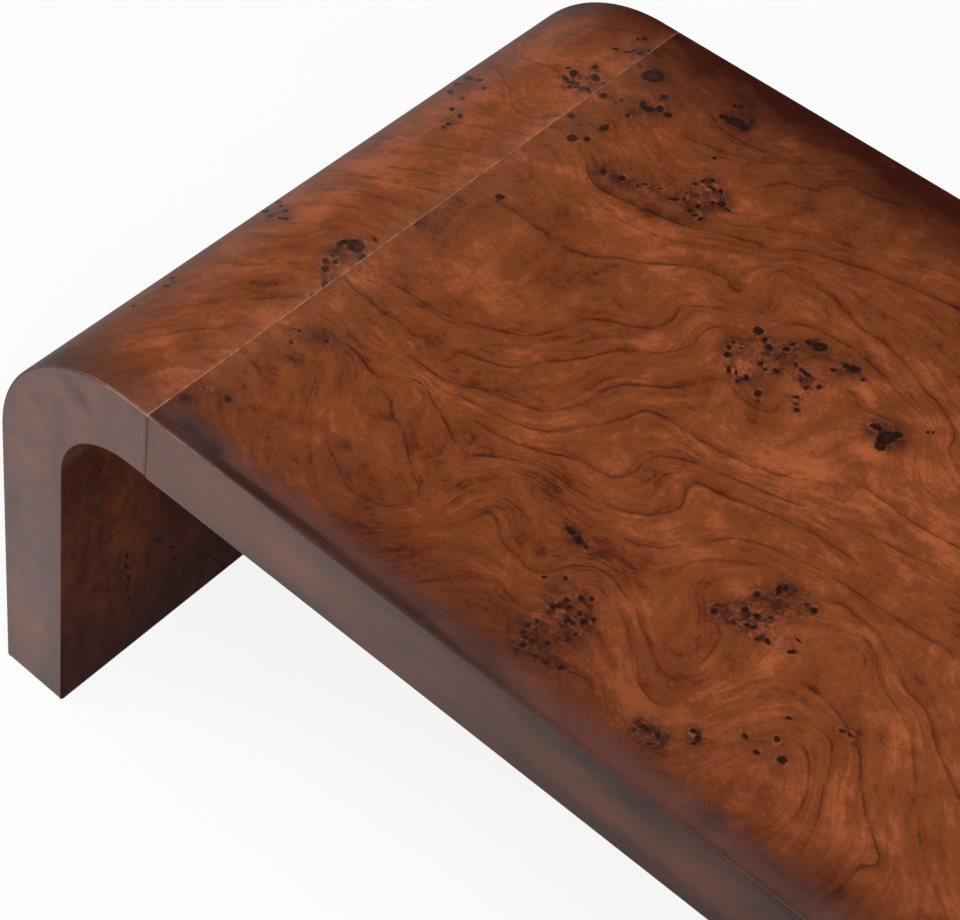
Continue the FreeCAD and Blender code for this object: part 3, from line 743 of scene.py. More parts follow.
# growth lines of the top: level, strength, then pixels along the line; levels rise toward the front
topLines = [
    (3, 0.5, [(712, 118), (724, 132), (742, 142), (760, 150), (778, 154), (800, 152)]),
    (4, 0.7, [(690, 140), (704, 144), (720, 152), (742, 158), (768, 163), (800, 164)]),
    (5, 0.8, [(768, 186), (785, 183), (800, 187), (818, 190), (835, 185), (852, 187), (872, 196),
         (900, 206)]),
    (7, 1.0, [(586, 160), (590, 178), (604, 192), (622, 200), (645, 210), (670, 220), (700, 230),
         (725, 235), (755, 243), (785, 249), (815, 255), (845, 263), (885, 277), (915, 290), (945, 303),
         (960, 311)]),
    (6, 0.6, [(736, 226), (760, 228), (790, 232), (830, 240), (870, 252), (910, 262), (950, 275)]),
    (8, 0.55, [(595, 203), (605, 209), (620, 220), (645, 231), (672, 241), (720, 248), (750, 257),
         (775, 262)]),
    (9, 1.0, [(500, 203), (512, 210), (530, 224), (550, 238), (572, 251), (600, 258), (620, 258),
         (650, 264), (680, 265), (705, 270), (728, 280), (742, 291)]),
    (10, 0.9, [(400, 288), (420, 300), (440, 312), (462, 322), (490, 328), (530, 336), (556, 332),
         (590, 320), (612, 322), (640, 328), (660, 326), (674, 318), (685, 306), (702, 307), (720, 309)]),
    (10, 0.9, [(780, 270), (795, 278), (812, 286), (830, 296), (842, 307), (852, 320), (862, 330),
         (880, 341), (893, 353), (905, 365), (914, 375), (922, 388), (936, 402), (947, 417), (954, 433),
         (948, 450)]),
    (11, 1.0, [(353, 288), (370, 302), (385, 314), (400, 322), (430, 338), (462, 352), (495, 364),
         (512, 367), (545, 361), (590, 357), (620, 351), (650, 353), (675, 351), (692, 345), (702, 334),
         (714, 327)]),
    (11, 1.0, [(796, 325), (815, 329), (835, 339), (852, 348), (865, 358), (875, 368), (885, 378),
         (896, 391)]),
    (12, 0.0, [(352, 302), (372, 322), (390, 339)]),
    (12, 1.0, [(404, 350), (416, 361), (429, 371), (444, 379), (464, 386), (485, 391), (512, 401),
         (540, 410), (570, 408), (590, 400), (605, 390), (620, 385), (660, 388), (690, 385), (712, 379)]),
    (12, 0.7, [(736, 392), (748, 403), (758, 409), (775, 410)]),
    (12, 0.9, [(855, 395), (858, 405), (870, 412), (885, 418), (900, 425), (912, 437)]),
    (13, 0.0, [(350, 310), (372, 330), (390, 346), (404, 358), (416, 368), (430, 379), (446, 391)]),
    (13, 0.9, [(465, 399), (480, 407), (510, 421), (540, 431), (565, 430), (600, 425), (630, 417),
         (650, 411), (662, 416), (682, 428), (700, 440), (722, 452), (745, 463), (780, 475)]),
    (13, 0.0, [(815, 482), (845, 486)]),
    (13, 0.9, [(868, 489), (880, 499), (892, 507), (907, 518), (918, 526), (940, 538), (960, 549)]),
    (14, 0.0, [(346, 320), (368, 339), (387, 355), (402, 366), (414, 376), (428, 388), (444, 403)]),
    (14, 0.9, [(462, 413), (480, 424), (500, 436), (535, 450), (562, 456), (585, 463), (600, 472),
         (622, 478), (640, 466), (655, 456), (672, 457), (690, 462), (716, 472), (745, 484), (780, 499),
         (820, 513), (855, 529), (880, 541), (920, 560)]),
    (15, 0.0, [(342, 330), (365, 348), (388, 363), (405, 373)]),
    (15, 1.0, [(418, 381), (426, 390), (432, 401), (438, 410), (443, 419), (452, 438), (461, 449),
         (468, 456), (485, 456), (505, 458), (535, 464), (570, 487), (603, 503), (630, 512), (662, 513),
         (681, 506), (686, 492), (698, 484), (725, 496), (755, 508), (785, 520), (812, 532), (842, 552)]),
    (16, 1.0, [(356, 352), (370, 371), (380, 386), (390, 400), (398, 418), (405, 437), (409, 457),
         (413, 474), (419, 489), (420, 500)]),
    (16, 0.8, [(640, 545), (665, 548), (690, 544), (712, 541), (740, 539), (765, 546), (795, 560),
         (825, 573), (855, 592), (880, 608), (910, 628), (950, 652)]),
    (17, 0.5, [(690, 563), (715, 560), (745, 563), (775, 570)]),
    (17, 0.8, [(830, 600), (845, 606), (860, 618), (872, 628), (882, 641), (890, 655), (897, 668),
         (905, 690), (920, 703), (930, 718), (934, 738), (940, 756), (948, 775), (960, 800)]),
    (17, 0.8, [(330, 450), (336, 462), (342, 478), (352, 492), (372, 502), (392, 507), (412, 505)]),
    (18, 0.7, [(486, 512), (497, 530), (505, 545), (516, 556), (533, 572), (570, 566), (600, 570),
         (620, 590), (640, 625), (655, 660)]),
    (18, 0.7, [(866, 640), (875, 655), (877, 668), (881, 682), (890, 698), (905, 720), (912, 745),
         (915, 775)]),
    (18, 0.7, [(919, 835), (923, 860), (934, 890), (945, 912)]),
    (19, 0.9, [(600, 588), (612, 603), (622, 615), (627, 630), (632, 647), (637, 668), (640, 685),
         (650, 700)]),
    (19, 1.0, [(813, 691), (831, 706), (849, 731), (857, 745), (860, 771), (863, 799), (871, 828),
         (880, 863), (862, 866), (850, 878), (836, 892), (822, 902)]),
    (20, 0.5, [(500, 585), (512, 600), (540, 612), (560, 616), (600, 640), (612, 666)]),
    (20, 0.9, [(831, 742), (829, 765), (823, 785), (820, 805), (812, 830), (803, 850)]),
    (21, 0.9, [(516, 650), (536, 657), (561, 668), (576, 675), (590, 682)]),
    (21, 0.8, [(806, 752), (809, 775), (808, 792), (802, 806), (796, 816)]),
]

# eyes of the top in pixels: x, y, length, then width and turn in degrees where they aren't round
topEyes = [
    (603, 96, 11, 8), (571, 116, 9, 7), (572, 138, 13, 9), (587, 139, 8, 7), (604, 128, 14, 8, -20),
    (643, 104, 9, 10), (649, 109, 14, 7, 10), (664, 97, 9, 7), (660, 109, 9, 8), (668, 115, 13, 6, 10),
    (628, 115, 7, 5, -40), (622, 100, 5, 4), (653, 76, 29, 15, 8), (616, 103, 3), (582, 125, 3),
    (736, 122, 24, 12, 20), (724, 117, 14, 6, 10), (746, 128, 14, 8), (742, 107, 8, 6), (735, 106, 6, 5),
    (752, 121, 4, 3), (604, 172, 7, 9), (622, 178, 9, 7), (645, 184, 4, 3), (638, 186, 3), (660, 189, 5, 3),
    (675, 199, 14, 5), (684, 199, 5, 4), (686, 194, 4, 3), (695, 184, 10, 4, 20), (702, 181, 4, 3),
    (712, 180, 6, 4), (710, 187, 7, 4, 20), (714, 189, 5, 4), (721, 191, 6, 6), (712, 202, 6, 4),
    (722, 204, 10, 7, 20), (728, 210, 10, 3, 30), (698, 206, 6, 6), (690, 211, 8, 4), (695, 215, 8, 4),
    (700, 219, 7, 4), (714, 158, 6, 4), (500, 197, 14, 7, 5), (758, 331, 14, 10, 10), (765, 340, 6, 8),
    (769, 347, 10, 8, 10), (786, 349, 9, 6), (793, 344, 5, 4), (729, 347, 7, 5, 20), (727, 355, 9, 6),
    (734, 342, 4), (741, 348, 4), (729, 370, 6, 9), (736, 372, 4, 8), (737, 381, 4, 3), (746, 377, 7, 8),
    (761, 364, 6, 6), (765, 369, 5, 4), (776, 371, 7, 5, 20), (758, 393, 11, 8), (758, 401, 5, 2),
    (796, 365, 4, 6), (801, 370, 5, 5), (808, 375, 5, 4), (802, 380, 3), (806, 388, 6, 4), (819, 387, 8, 7),
    (820, 347, 20, 11, 5), (808, 342, 8, 4), (833, 370, 9, 5), (846, 366, 8, 6), (855, 369, 16, 8, 10),
    (863, 380, 6, 4), (797, 397, 8, 4), (796, 404, 5, 2), (797, 410, 8, 6), (886, 438, 24, 17, -8),
    (896, 435, 16, 9, -5), (880, 446, 15, 12, 30), (876, 427, 9, 7), (872, 426, 5, 5), (928, 432, 5, 4),
    (933, 433, 4, 4), (571, 531, 16, 8, 30), (579, 540, 12, 9, 40), (586, 547, 8, 5, 50), (544, 577, 7, 3),
    (566, 578, 5, 4), (553, 607, 8, 6), (559, 606, 6), (566, 600, 9, 7), (569, 607, 7, 6), (581, 598, 7, 8),
    (592, 599, 6, 5), (580, 613, 4), (568, 621, 9, 6), (573, 623, 8, 5), (584, 622, 9, 7), (594, 620, 7, 6),
    (576, 634, 7, 4, -30), (566, 640, 9, 3, -15), (537, 621, 4, 6), (527, 625, 7, 6), (523, 632, 7, 3),
    (526, 637, 8, 4), (533, 641, 8, 5), (523, 645, 8, 5), (517, 650, 8, 4), (547, 643, 6, 4),
    (536, 656, 7, 5), (546, 663, 7, 4), (561, 668, 9, 6), (571, 672, 10, 2, 25), (714, 611, 10, 8),
    (717, 605, 8, 4), (757, 594, 8, 7), (779, 590, 8, 12), (786, 588, 6, 7), (814, 611, 9, 8),
    (807, 604, 6, 3), (744, 610, 9, 7), (749, 615, 5), (757, 616, 9, 6), (733, 622, 8, 4, 30),
    (747, 625, 6, 3), (753, 627, 7, 5), (757, 639, 8, 5), (768, 642, 5, 9, -30), (798, 640, 10, 3, 40),
    (792, 652, 16, 6), (770, 617, 9, 2, 30), (634, 730, 5, 4), (642, 726, 6, 5), (647, 729, 5, 6),
    (652, 732, 5, 4), (658, 735, 6, 8), (651, 744, 7, 3), (640, 742, 4, 2), (694, 731, 8, 6),
    (698, 738, 7, 8), (694, 744, 8, 3), (745, 736, 5, 9, -40), (756, 752, 9, 7, 20), (777, 739, 8, 8),
    (782, 760, 12, 10, 20), (789, 718, 9, 5, 15), (842, 731, 9, 5, 10), (850, 735, 7, 4, 40),
    (291, 342, 6, 5), (299, 331, 5, 4), (294, 329, 10, 2, 10), (327, 341, 6, 5), (341, 337, 4, 3),
    (204, 388, 4, 3), (228, 399, 8, 7), (184, 398, 8, 5), (192, 424, 7, 4),
]

# bright and dark patches of the top in pixels: x, y, reach, strength
topPatches = [
    (815, 340, 9, -0.3), (843, 354, 9, -0.3), (868, 375, 9, -0.35), (884, 394, 9, -0.3),
    (800, 334, 9, -0.2), (284, 322, 14, 0.4), (250, 345, 12, 0.3), (330, 287, 10, 0.1),
    (480, 182, 14, -0.3), (590, 172, 9, -0.3), (605, 190, 9, -0.4), (625, 202, 9, -0.4),
    (650, 212, 9, -0.4), (675, 220, 9, -0.4), (335, 300, 16, 0.3), (605, 452, 14, -0.5),
    (550, 540, 14, -0.3), (795, 700, 14, -0.3), (805, 610, 14, -0.4), (860, 310, 16, -0.3),
    (345, 298, 14, -0.4), (455, 375, 14, -0.3), (290, 360, 16, -0.3), (640, 365, 16, -0.3),
    (622, 120, 12, -0.3), (705, 60, 20, -0.6), (740, 75, 20, -0.4), (840, 135, 24, -0.4),
    (890, 160, 24, -0.3), (880, 452, 12, 0.4), (840, 505, 16, 0.4), (675, 490, 14, 0.3),
    (630, 400, 18, 0.2), (735, 590, 14, 0.3), (870, 632, 14, 0.3), (680, 722, 14, 0.4), (635, 720, 14, 0.3),
    (837, 770, 12, 0.3), (770, 628, 14, 0.5), (755, 355, 16, 0.4), (790, 395, 18, 0.4), (830, 385, 16, 0.3),
    (640, 190, 16, 0.3), (690, 185, 16, 0.3), (555, 605, 16, 0.3), (540, 645, 16, 0.3), (250, 350, 12, 0.5),
    (665, 135, 18, 0.4), (680, 165, 16, 0.3), (275, 490, 18, 0.5), (340, 497, 14, 0.5), (620, 465, 18, 0.5),
    (720, 475, 20, 0.4), (757, 485, 20, 0.4), (800, 500, 18, 0.4), (675, 535, 18, 0.2), (865, 450, 14, 0.7),
    (950, 443, 14, 0.5), (895, 390, 14, 0.3), (500, 575, 16, 0.6), (545, 568, 14, 0.4), (550, 612, 14, 0.4),
    (575, 665, 16, 0.6), (630, 605, 16, 0.6), (705, 633, 14, 0.5), (640, 725, 16, 0.4), (720, 750, 18, 0.5),
    (835, 815, 14, 0.7), (850, 840, 14, 0.5), (955, 775, 16, 0.4), (950, 910, 16, 0.5), (795, 830, 14, 0.4),
    (765, 625, 12, 0.3), (525, 190, 20, -0.4), (640, 205, 16, -0.4), (725, 190, 14, -0.4),
    (850, 612, 20, -0.5), (792, 640, 14, -0.7), (770, 595, 14, -0.4), (640, 555, 18, -0.4),
    (820, 350, 14, -0.4), (720, 350, 14, -0.4), (908, 860, 16, -0.6), (875, 705, 14, -0.4),
    (760, 760, 14, -0.4), (750, 850, 16, -0.4), (240, 430, 18, -0.4), (265, 400, 20, -0.4),
    (220, 385, 16, -0.3), (410, 415, 16, -0.3), (430, 455, 18, -0.3), (580, 475, 14, -0.3),
    (590, 630, 12, -0.4), (485, 265, 16, -0.3), (390, 328, 16, -0.4), (332, 500, 20, 0.2),
    (470, 262, 30, 0.35), (480, 240, 18, 0.4), (562, 386, 26, 0.3), (525, 428, 24, 0.6),
    (600, 476, 30, 0.35), (655, 530, 26, 0.3), (650, 226, 42, 0.6), (765, 450, 42, 0.5),
    (785, 637, 20, 0.8), (765, 668, 34, 0.4), (785, 785, 24, 0.6), (740, 790, 20, 0.7), (722, 690, 26, 0.4),
    (888, 706, 30, 0.4), (900, 762, 30, 0.4), (735, 265, 22, 0.7), (662, 268, 20, 0.6), (690, 284, 30, 0.2),
    (745, 208, 22, 0.7), (600, 215, 22, 0.5), (800, 158, 22, 0.5), (872, 390, 20, 0.8), (914, 385, 22, 0.8),
    (930, 425, 22, 0.9), (868, 452, 20, 0.1), (905, 470, 20, 0.5), (820, 472, 26, 0.5), (945, 470, 26, 0.7),
    (875, 500, 24, 0.7), (940, 530, 24, 0.7), (950, 568, 24, 0.8), (720, 520, 18, 0.6), (685, 490, 14, 0.5),
    (690, 545, 20, 0.4), (950, 280, 24, 0.5), (908, 256, 20, 0.4), (820, 270, 18, 0.4), (800, 316, 18, 0.5),
    (700, 332, 22, 0.4), (745, 364, 18, 0.9), (800, 382, 18, 0.8), (660, 345, 22, 0.4), (850, 335, 18, 0.4),
    (715, 190, 16, 0.8), (650, 190, 14, 0.5), (640, 708, 24, 1.0), (690, 735, 18, 0.4), (615, 684, 16, 0.6),
    (820, 702, 18, 0.3), (855, 625, 20, 0.7), (820, 638, 18, 0.4), (955, 820, 24, 0.4), (840, 850, 16, 0.3),
    (868, 876, 20, 0.8), (892, 838, 20, 0.6), (925, 865, 24, 0.4), (752, 816, 16, 0.5), (835, 790, 14, 0.3),
    (470, 335, 16, 0.4), (490, 302, 22, 0.5), (520, 312, 20, 0.3), (440, 276, 18, 0.5), (362, 276, 20, 0.8),
    (335, 302, 16, 0.6), (385, 335, 20, 0.5), (425, 378, 18, 0.5), (478, 404, 16, 0.5), (340, 405, 16, 0.4),
    (322, 438, 14, 0.4), (240, 430, 20, 0.4), (275, 478, 20, 0.4), (290, 440, 18, 0.4), (412, 516, 20, 0.5),
    (442, 500, 16, 0.3), (410, 462, 18, 0.4), (572, 420, 18, 0.5), (650, 98, 16, 0.5), (625, 150, 16, 0.5),
    (575, 176, 20, 0.5), (545, 165, 20, 0.1), (560, 215, 26, -0.2), (468, 208, 26, -0.5),
    (418, 222, 26, -0.7), (405, 250, 18, -0.5), (510, 258, 24, -0.5), (595, 292, 30, -0.3),
    (645, 296, 18, -0.4), (400, 455, 20, -0.3), (455, 480, 22, -0.4), (480, 440, 20, -0.5),
    (556, 478, 22, -0.4), (606, 548, 28, -0.6), (540, 548, 18, -0.4), (500, 562, 20, -0.5),
    (640, 578, 24, -0.4), (655, 518, 14, -0.4), (668, 668, 20, -0.5), (702, 650, 24, -0.3),
    (932, 840, 14, -0.4), (340, 386, 24, -0.2), (500, 610, 24, -0.3), (700, 375, 16, -0.2),
    (640, 165, 30, -0.2), (345, 446, 10, -0.8), (385, 420, 16, -0.4), (340, 345, 16, -0.3),
    (480, 370, 26, -0.4), (585, 400, 24, -0.2), (510, 398, 20, -0.2), (382, 490, 22, -0.6),
    (380, 540, 24, -0.5), (345, 515, 24, -0.5), (245, 362, 22, -0.2), (550, 336, 18, -0.4),
    (440, 336, 16, -0.3), (760, 425, 22, -0.6), (720, 405, 16, -0.4), (856, 405, 12, -0.5),
    (675, 420, 18, -0.2), (725, 328, 16, -0.5), (785, 290, 16, -0.3), (885, 325, 18, -0.3),
    (915, 308, 18, -0.3), (655, 208, 16, -0.5), (760, 172, 20, -0.3), (860, 176, 20, -0.4),
    (800, 203, 20, -0.7), (850, 228, 24, -0.6), (700, 66, 24, -0.5), (660, 755, 22, -0.3),
    (852, 812, 12, -0.5), (825, 890, 24, -0.3), (870, 735, 16, -0.3), (925, 690, 18, -0.5),
    (585, 645, 18, -0.5), (740, 240, 20, -0.4), (820, 685, 14, -0.4), (780, 690, 14, -0.4),
    (850, 460, 16, -0.5),
]

# smudges of the stain in pixels: x, y, reach, strength
topSmudges = [
    (395, 430, 14, 0.35), (405, 460, 14, 0.35), (415, 482, 10, 0.35), (203, 438, 15, 1.2),
    (194, 424, 10, 0.8), (186, 400, 10, 0.6), (228, 398, 9, 0.5), (710, 822, 14, 0.9), (345, 446, 9, 0.6),
    (790, 600, 20, 0.8), (762, 612, 18, 0.4), (735, 612, 12, 0.3), (740, 122, 18, 0.8), (655, 75, 16, 1.0),
    (886, 437, 16, 0.7), (575, 534, 14, 0.5), (565, 608, 22, 0.2), (528, 636, 18, 0.1), (765, 352, 20, 0.1),
    (848, 372, 14, 0.3), (655, 196, 16, 0.2), (600, 165, 14, 0.5), (638, 190, 16, 0.4), (615, 178, 16, 0.5),
    (700, 200, 20, 0.1), (665, 178, 16, 0.3), (640, 166, 14, 0.3), (722, 208, 12, 0.15),
    (650, 735, 14, 0.4), (696, 738, 10, 0.4), (572, 672, 12, 0.2), (640, 110, 16, 0.2), (320, 338, 16, 0.5),
    (775, 350, 12, 0.4), (793, 352, 10, 0.4), (818, 345, 12, 0.4), (735, 336, 14, 0.25),
    (893, 432, 18, 0.4), (592, 172, 9, 0.4), (605, 190, 10, 0.4), (625, 203, 10, 0.4), (650, 213, 10, 0.4),
    (676, 219, 10, 0.4), (700, 222, 10, 0.3),
]

# soot in the toner along the front edge, in pixels: x, y, reach, strength
topSoot = [
    (201, 447, 13, 1.0), (188, 428, 11, 0.8), (213, 452, 10, 0.4), (710, 820, 11, 0.35), (345, 446, 8, 0.3),
    (340, 470, 9, 0.25),
]

# strengths and reaches of the toner, stain and wear; a pair gives both
top = dict(
    made=(0.16, 0.29),              # x over which the drawn figure hands over to a made-up one
    clusters=((0.25, -0.16), (0.31, 0.12), (0.40, -0.02), (0.22, 0.22), (0.42, 0.24), (0.37, -0.24)),
    madeEyes=dict(count=(6, 17), reach=11 * mm, size=(2.2 * mm, 7 * mm)),
    pixel=0.72,                     # mm of reach for a pixel
    toner=0.95,
    tonerFades=(6 * mm, 34 * mm),   # distances from the front edge
    tonerWorn=(0.25, 3 * mm),       # on the arris itself
    front=0.46,
    frontFades=(25 * mm, 100 * mm),
    arrisLine=(0.80, 2.6 * mm),     # dark line on the front arris, weaker at the seams
    # a strip inside that line, strongest at the seams, with more stain and less toner
    strip=dict(place=4.6 * mm, reach=3.2 * mm, run=(0.34, 0.12), burnt=0.9, toner=0.45),
    back=(1.05, 62 * mm),
    corner=(0.62, 62 * mm, 50 * mm),
    beside=(0.14, 16 * mm),         # along the seams, towards the front
    paleLine=0.5,                   # painted glint low on the front arris, strongest at the left seam
    # painted sheen on the top beside the seams: strength and reach
    haze=(0.08, 30 * mm),
)


def topLeaf():
    rng = np.random.default_rng(41)
    lines = drawnLines(topLines, onTop)
    drawn = phaseThrough(lines)
    made = swirlPhase(rng, (0.2, 0.5), acrossLeaf, lines=29.0, swells=26, lean=0.12)
    scattered = scatteredEyes(rng, np.array(top["clusters"]), **top["madeEyes"])
    shapes = eyeShapes(topEyes, onTop) + scattered
    patches = placed(topPatches, onTop, top["pixel"])
    patches += madePatches(rng, 26, (0.2, 0.46), acrossLeaf, reach=(0.015, 0.04))
    smudges = placed(topSmudges, onTop, top["pixel"])
    soot = placed(topSoot, onTop, top["pixel"])

    def phase(u, w):
        blend = smoothStep(*top["made"], u)
        return drawn(u, w) * (1 - blend) + (made(u, w) + 10.0) * blend

    def fromSeam(u):
        return np.clip(seamX - np.abs(u), 0, None)

    def strip(u, w):
        part = top["strip"]
        return bell(w + halfWidth - part["place"], part["reach"]) * smoothStep(*part["run"], fromSeam(u))

    def toner(u, w):
        fromFront = w + halfWidth
        strength, reach = top["tonerWorn"]
        result = top["toner"] * (1 - smoothStep(*top["tonerFades"], fromFront))
        result -= strength * bell(fromFront, reach) + top["strip"]["toner"] * strip(u, w)
        return result + patchTone(soot, u, w)

    def burnt(u, w):
        fromFront = w + halfWidth
        gap = fromSeam(u)
        result = top["front"] * (1 - smoothStep(*top["frontFades"], fromFront)) * smoothStep(0.0, 0.18, gap)
        strength, reach = top["arrisLine"]
        result += strength * bell(fromFront + 0.3 * mm, reach) * (0.35 + 0.65 * smoothStep(0.0, 0.1, gap))
        strength, reach = top["back"]
        result += strength * fadeIn(halfWidth - w, reach, 1.6)
        strength, reachU, reachW = top["corner"]
        result += strength * bell(gap, reachU) * bell(fromFront, reachW)
        strength, reach = top["beside"]
        result += strength * fadeIn(gap, reach) * smoothStep(-0.1, -0.25, w)
        return result + top["strip"]["burnt"] * strip(u, w) + patchTone(soot, u, w)

    def rub(u, w):
        # painted glint low on the front arris by the left seam, and painted sheen beside the seams
        strength, reach = top["haze"]
        haze = strength * fadeIn(fromSeam(u), reach) * smoothStep(0.0, 0.08, halfWidth - np.abs(w))
        return top["paleLine"] * lowOnArris(w) * smoothStep(-0.30, -0.45, u) + haze

    us = endLines(2 * seamX, cell["face"], arris["seam"], arris["seam"])
    pick = nearEyes([(centre + np.array((seamX, 0)), a, b) for centre, a, b in shapes], 1.6)
    mesh, u, w = latticeMesh("centre_top_leaf", us, crossLines(cell["face"]), placeTop, backLines(), pick)
    edges = dict(toner=toner, burnt=burnt, rub=rub)
    dressLeaf(mesh, u - seamX, w, phase, shapes, patches, base=0.17, lines=lines, smudges=smudges, **edges)
    finishPiece(mesh, burlMaterial("burl_top", sprayed="topToner"), ["centre_top_veneer"])


# growth lines, eyes, patches and smudges of the left bent unit's outer face, as on the top
bendLines = [
    (1, 0.6, [(560, 22), (600, 28), (640, 34)]),
    (2, 0.7, [(520, 58), (545, 66), (575, 80), (592, 86)]),
    (3, 0.8, [(484, 64), (497, 70), (505, 82), (511, 96), (514, 108), (530, 118), (556, 116)]),
    (5, 0.7, [(400, 121), (440, 121), (480, 127), (520, 134), (536, 138)]),
    (6, 0.7, [(372, 138), (410, 144), (440, 147), (470, 151), (508, 160)]),
    (7, 0.8, [(356, 158), (395, 168), (430, 174), (468, 184)]),
    (8, 1.0, [(318, 178), (345, 175), (370, 178), (400, 184), (430, 190), (450, 196)]),
    (9, 0.8, [(330, 190), (356, 190), (380, 198), (405, 205), (428, 211)]),
    (10, 0.6, [(300, 205), (340, 206), (380, 214), (412, 226)]),
    (12, 0.7, [(244, 234), (262, 236), (285, 238), (310, 234), (330, 228)]),
    (13, 0.7, [(222, 262), (246, 266), (270, 264), (292, 262), (306, 270)]),
    (14, 0.9, [(150, 312), (190, 306), (230, 300), (262, 299), (296, 297)]),
    (15, 0.9, [(110, 350), (160, 336), (200, 330), (225, 328), (240, 324), (252, 327), (264, 333)]),
    (16, 0.6, [(90, 372), (130, 358), (180, 346), (222, 348)]),
]
bendEyes = [
    (573, 74, 8, 7), (568, 68, 6, 3), (595, 67, 8, 5), (596, 78, 12, 7, 20), (567, 79, 6, 3, 30),
    (571, 82, 5, 3), (578, 83, 4, 4), (570, 87, 4, 3), (575, 87, 4, 3), (588, 90, 9, 4, 40),
    (605, 84, 7, 5, 20), (615, 49, 8, 3, 15), (627, 52, 6, 3), (633, 51, 7, 3, -10), (640, 53, 10, 4, -10),
    (650, 51, 5, 3), (638, 39, 5, 3), (645, 39, 8, 5), (468, 78, 12, 5, 5), (480, 80, 7, 3),
    (484, 88, 4, 3), (450, 92, 8, 5), (457, 84, 8, 3), (452, 109, 6, 5), (460, 116, 5, 4), (448, 124, 5, 3),
    (443, 127, 4, 3), (463, 98, 4, 2), (265, 211, 10, 5), (278, 202, 9, 3), (281, 206, 6, 3),
    (285, 211, 6, 3), (270, 216, 8, 3), (280, 218, 7, 3), (286, 219, 7, 3), (356, 246, 20, 14, 10),
    (363, 258, 9, 9), (342, 243, 14, 6, -20), (326, 261, 7, 6), (325, 269, 9, 6), (336, 262, 5, 4),
    (325, 284, 8, 8), (331, 284, 4, 4), (334, 256, 6, 2), (312, 295, 4, 3), (166, 286, 9, 3),
    (172, 278, 8, 3), (133, 306, 5, 3), (375, 240, 7, 4, 60),
]
# among these, the bright patch at (300, 192) on the bend's middle is painted sheen, in place of the
# lacquer's reflection
bendPatches = [
    (575, 85, 18, 0.5), (577, 122, 16, 0.8), (545, 142, 16, 0.9), (390, 142, 18, 0.5), (580, 25, 18, 0.4),
    (120, 350, 22, 0.4), (350, 190, 18, 0.4), (340, 268, 14, 0.4), (285, 325, 12, 0.4), (300, 192, 22, 0.5),
    (350, 165, 20, 0.3), (240, 235, 20, 0.3), (450, 105, 22, 0.3), (540, 45, 24, 0.4), (160, 340, 20, 0.6),
    (410, 140, 18, 0.6), (590, 20, 16, 0.4), (498, 95, 16, 0.4), (310, 205, 20, 0.4), (310, 298, 16, 0.4),
    (230, 262, 18, 0.4), (365, 245, 18, -0.3), (256, 262, 28, 0.4), (285, 232, 22, 0.4),
    (320, 250, 26, -0.2), (385, 165, 30, 1.0), (440, 165, 26, 0.4), (320, 212, 26, 0.6), (500, 95, 24, 0.4),
    (515, 112, 20, 0.4), (560, 140, 22, 0.8), (497, 163, 18, 0.5), (580, 122, 18, 0.7), (535, 145, 20, 0.6),
    (110, 345, 20, 0.3), (240, 345, 16, 0.2), (330, 295, 18, 0.5), (230, 318, 18, 0.3), (560, 110, 26, 0.4),
    (230, 355, 14, 0.2), (470, 130, 30, 0.3), (580, 80, 16, 0.7), (635, 42, 16, 0.8), (540, 60, 26, 0.4),
    (560, 30, 24, 0.7), (170, 290, 22, -0.4), (150, 350, 26, -0.2), (195, 345, 22, -0.5),
    (272, 288, 24, -0.5), (200, 272, 22, 0.5), (340, 225, 20, -0.4), (430, 205, 20, -0.4),
    (420, 100, 22, -0.3), (640, 20, 16, -0.2), (110, 352, 22, -0.3),
]
bendSmudges = [
    (345, 250, 16, 0.4), (328, 270, 14, 0.1), (595, 74, 16, 0.2), (572, 80, 12, 0.1), (276, 211, 12, 0.5),
    (466, 86, 16, 0.3), (452, 118, 14, 0.3), (170, 284, 12, 0.4),
]


bend = dict(
    made=(0.13, 0.24),              # run over which the left unit's drawn figure hands over
    madeEyes=dict(count=(7, 18), reach=10 * mm, size=(2.2 * mm, 7 * mm)),
    pixel=0.75,
    tonerFront=(0.6, 20 * mm),
    tonerFoot=(0.5, 45 * mm),
    corner=(0.85, 95 * mm),         # stain along the front, past the flat part, partly painted shade toward the silhouette
    turned=0.45,                    # painted shade all over, where the bend turns down away from the light
    front=(0.3, 32 * mm),
    back=(0.9, 36 * mm),
    foot=(0.4, 60 * mm),
    paleEnd=0.65,                   # painted highlight on the seam's eased edge, and a painted glint low on the front arris
    paleLine=0.6,
    haze=(0.02, 0.07, 20 * mm),     # painted sheen over the flat part, and more of it at the seam
)


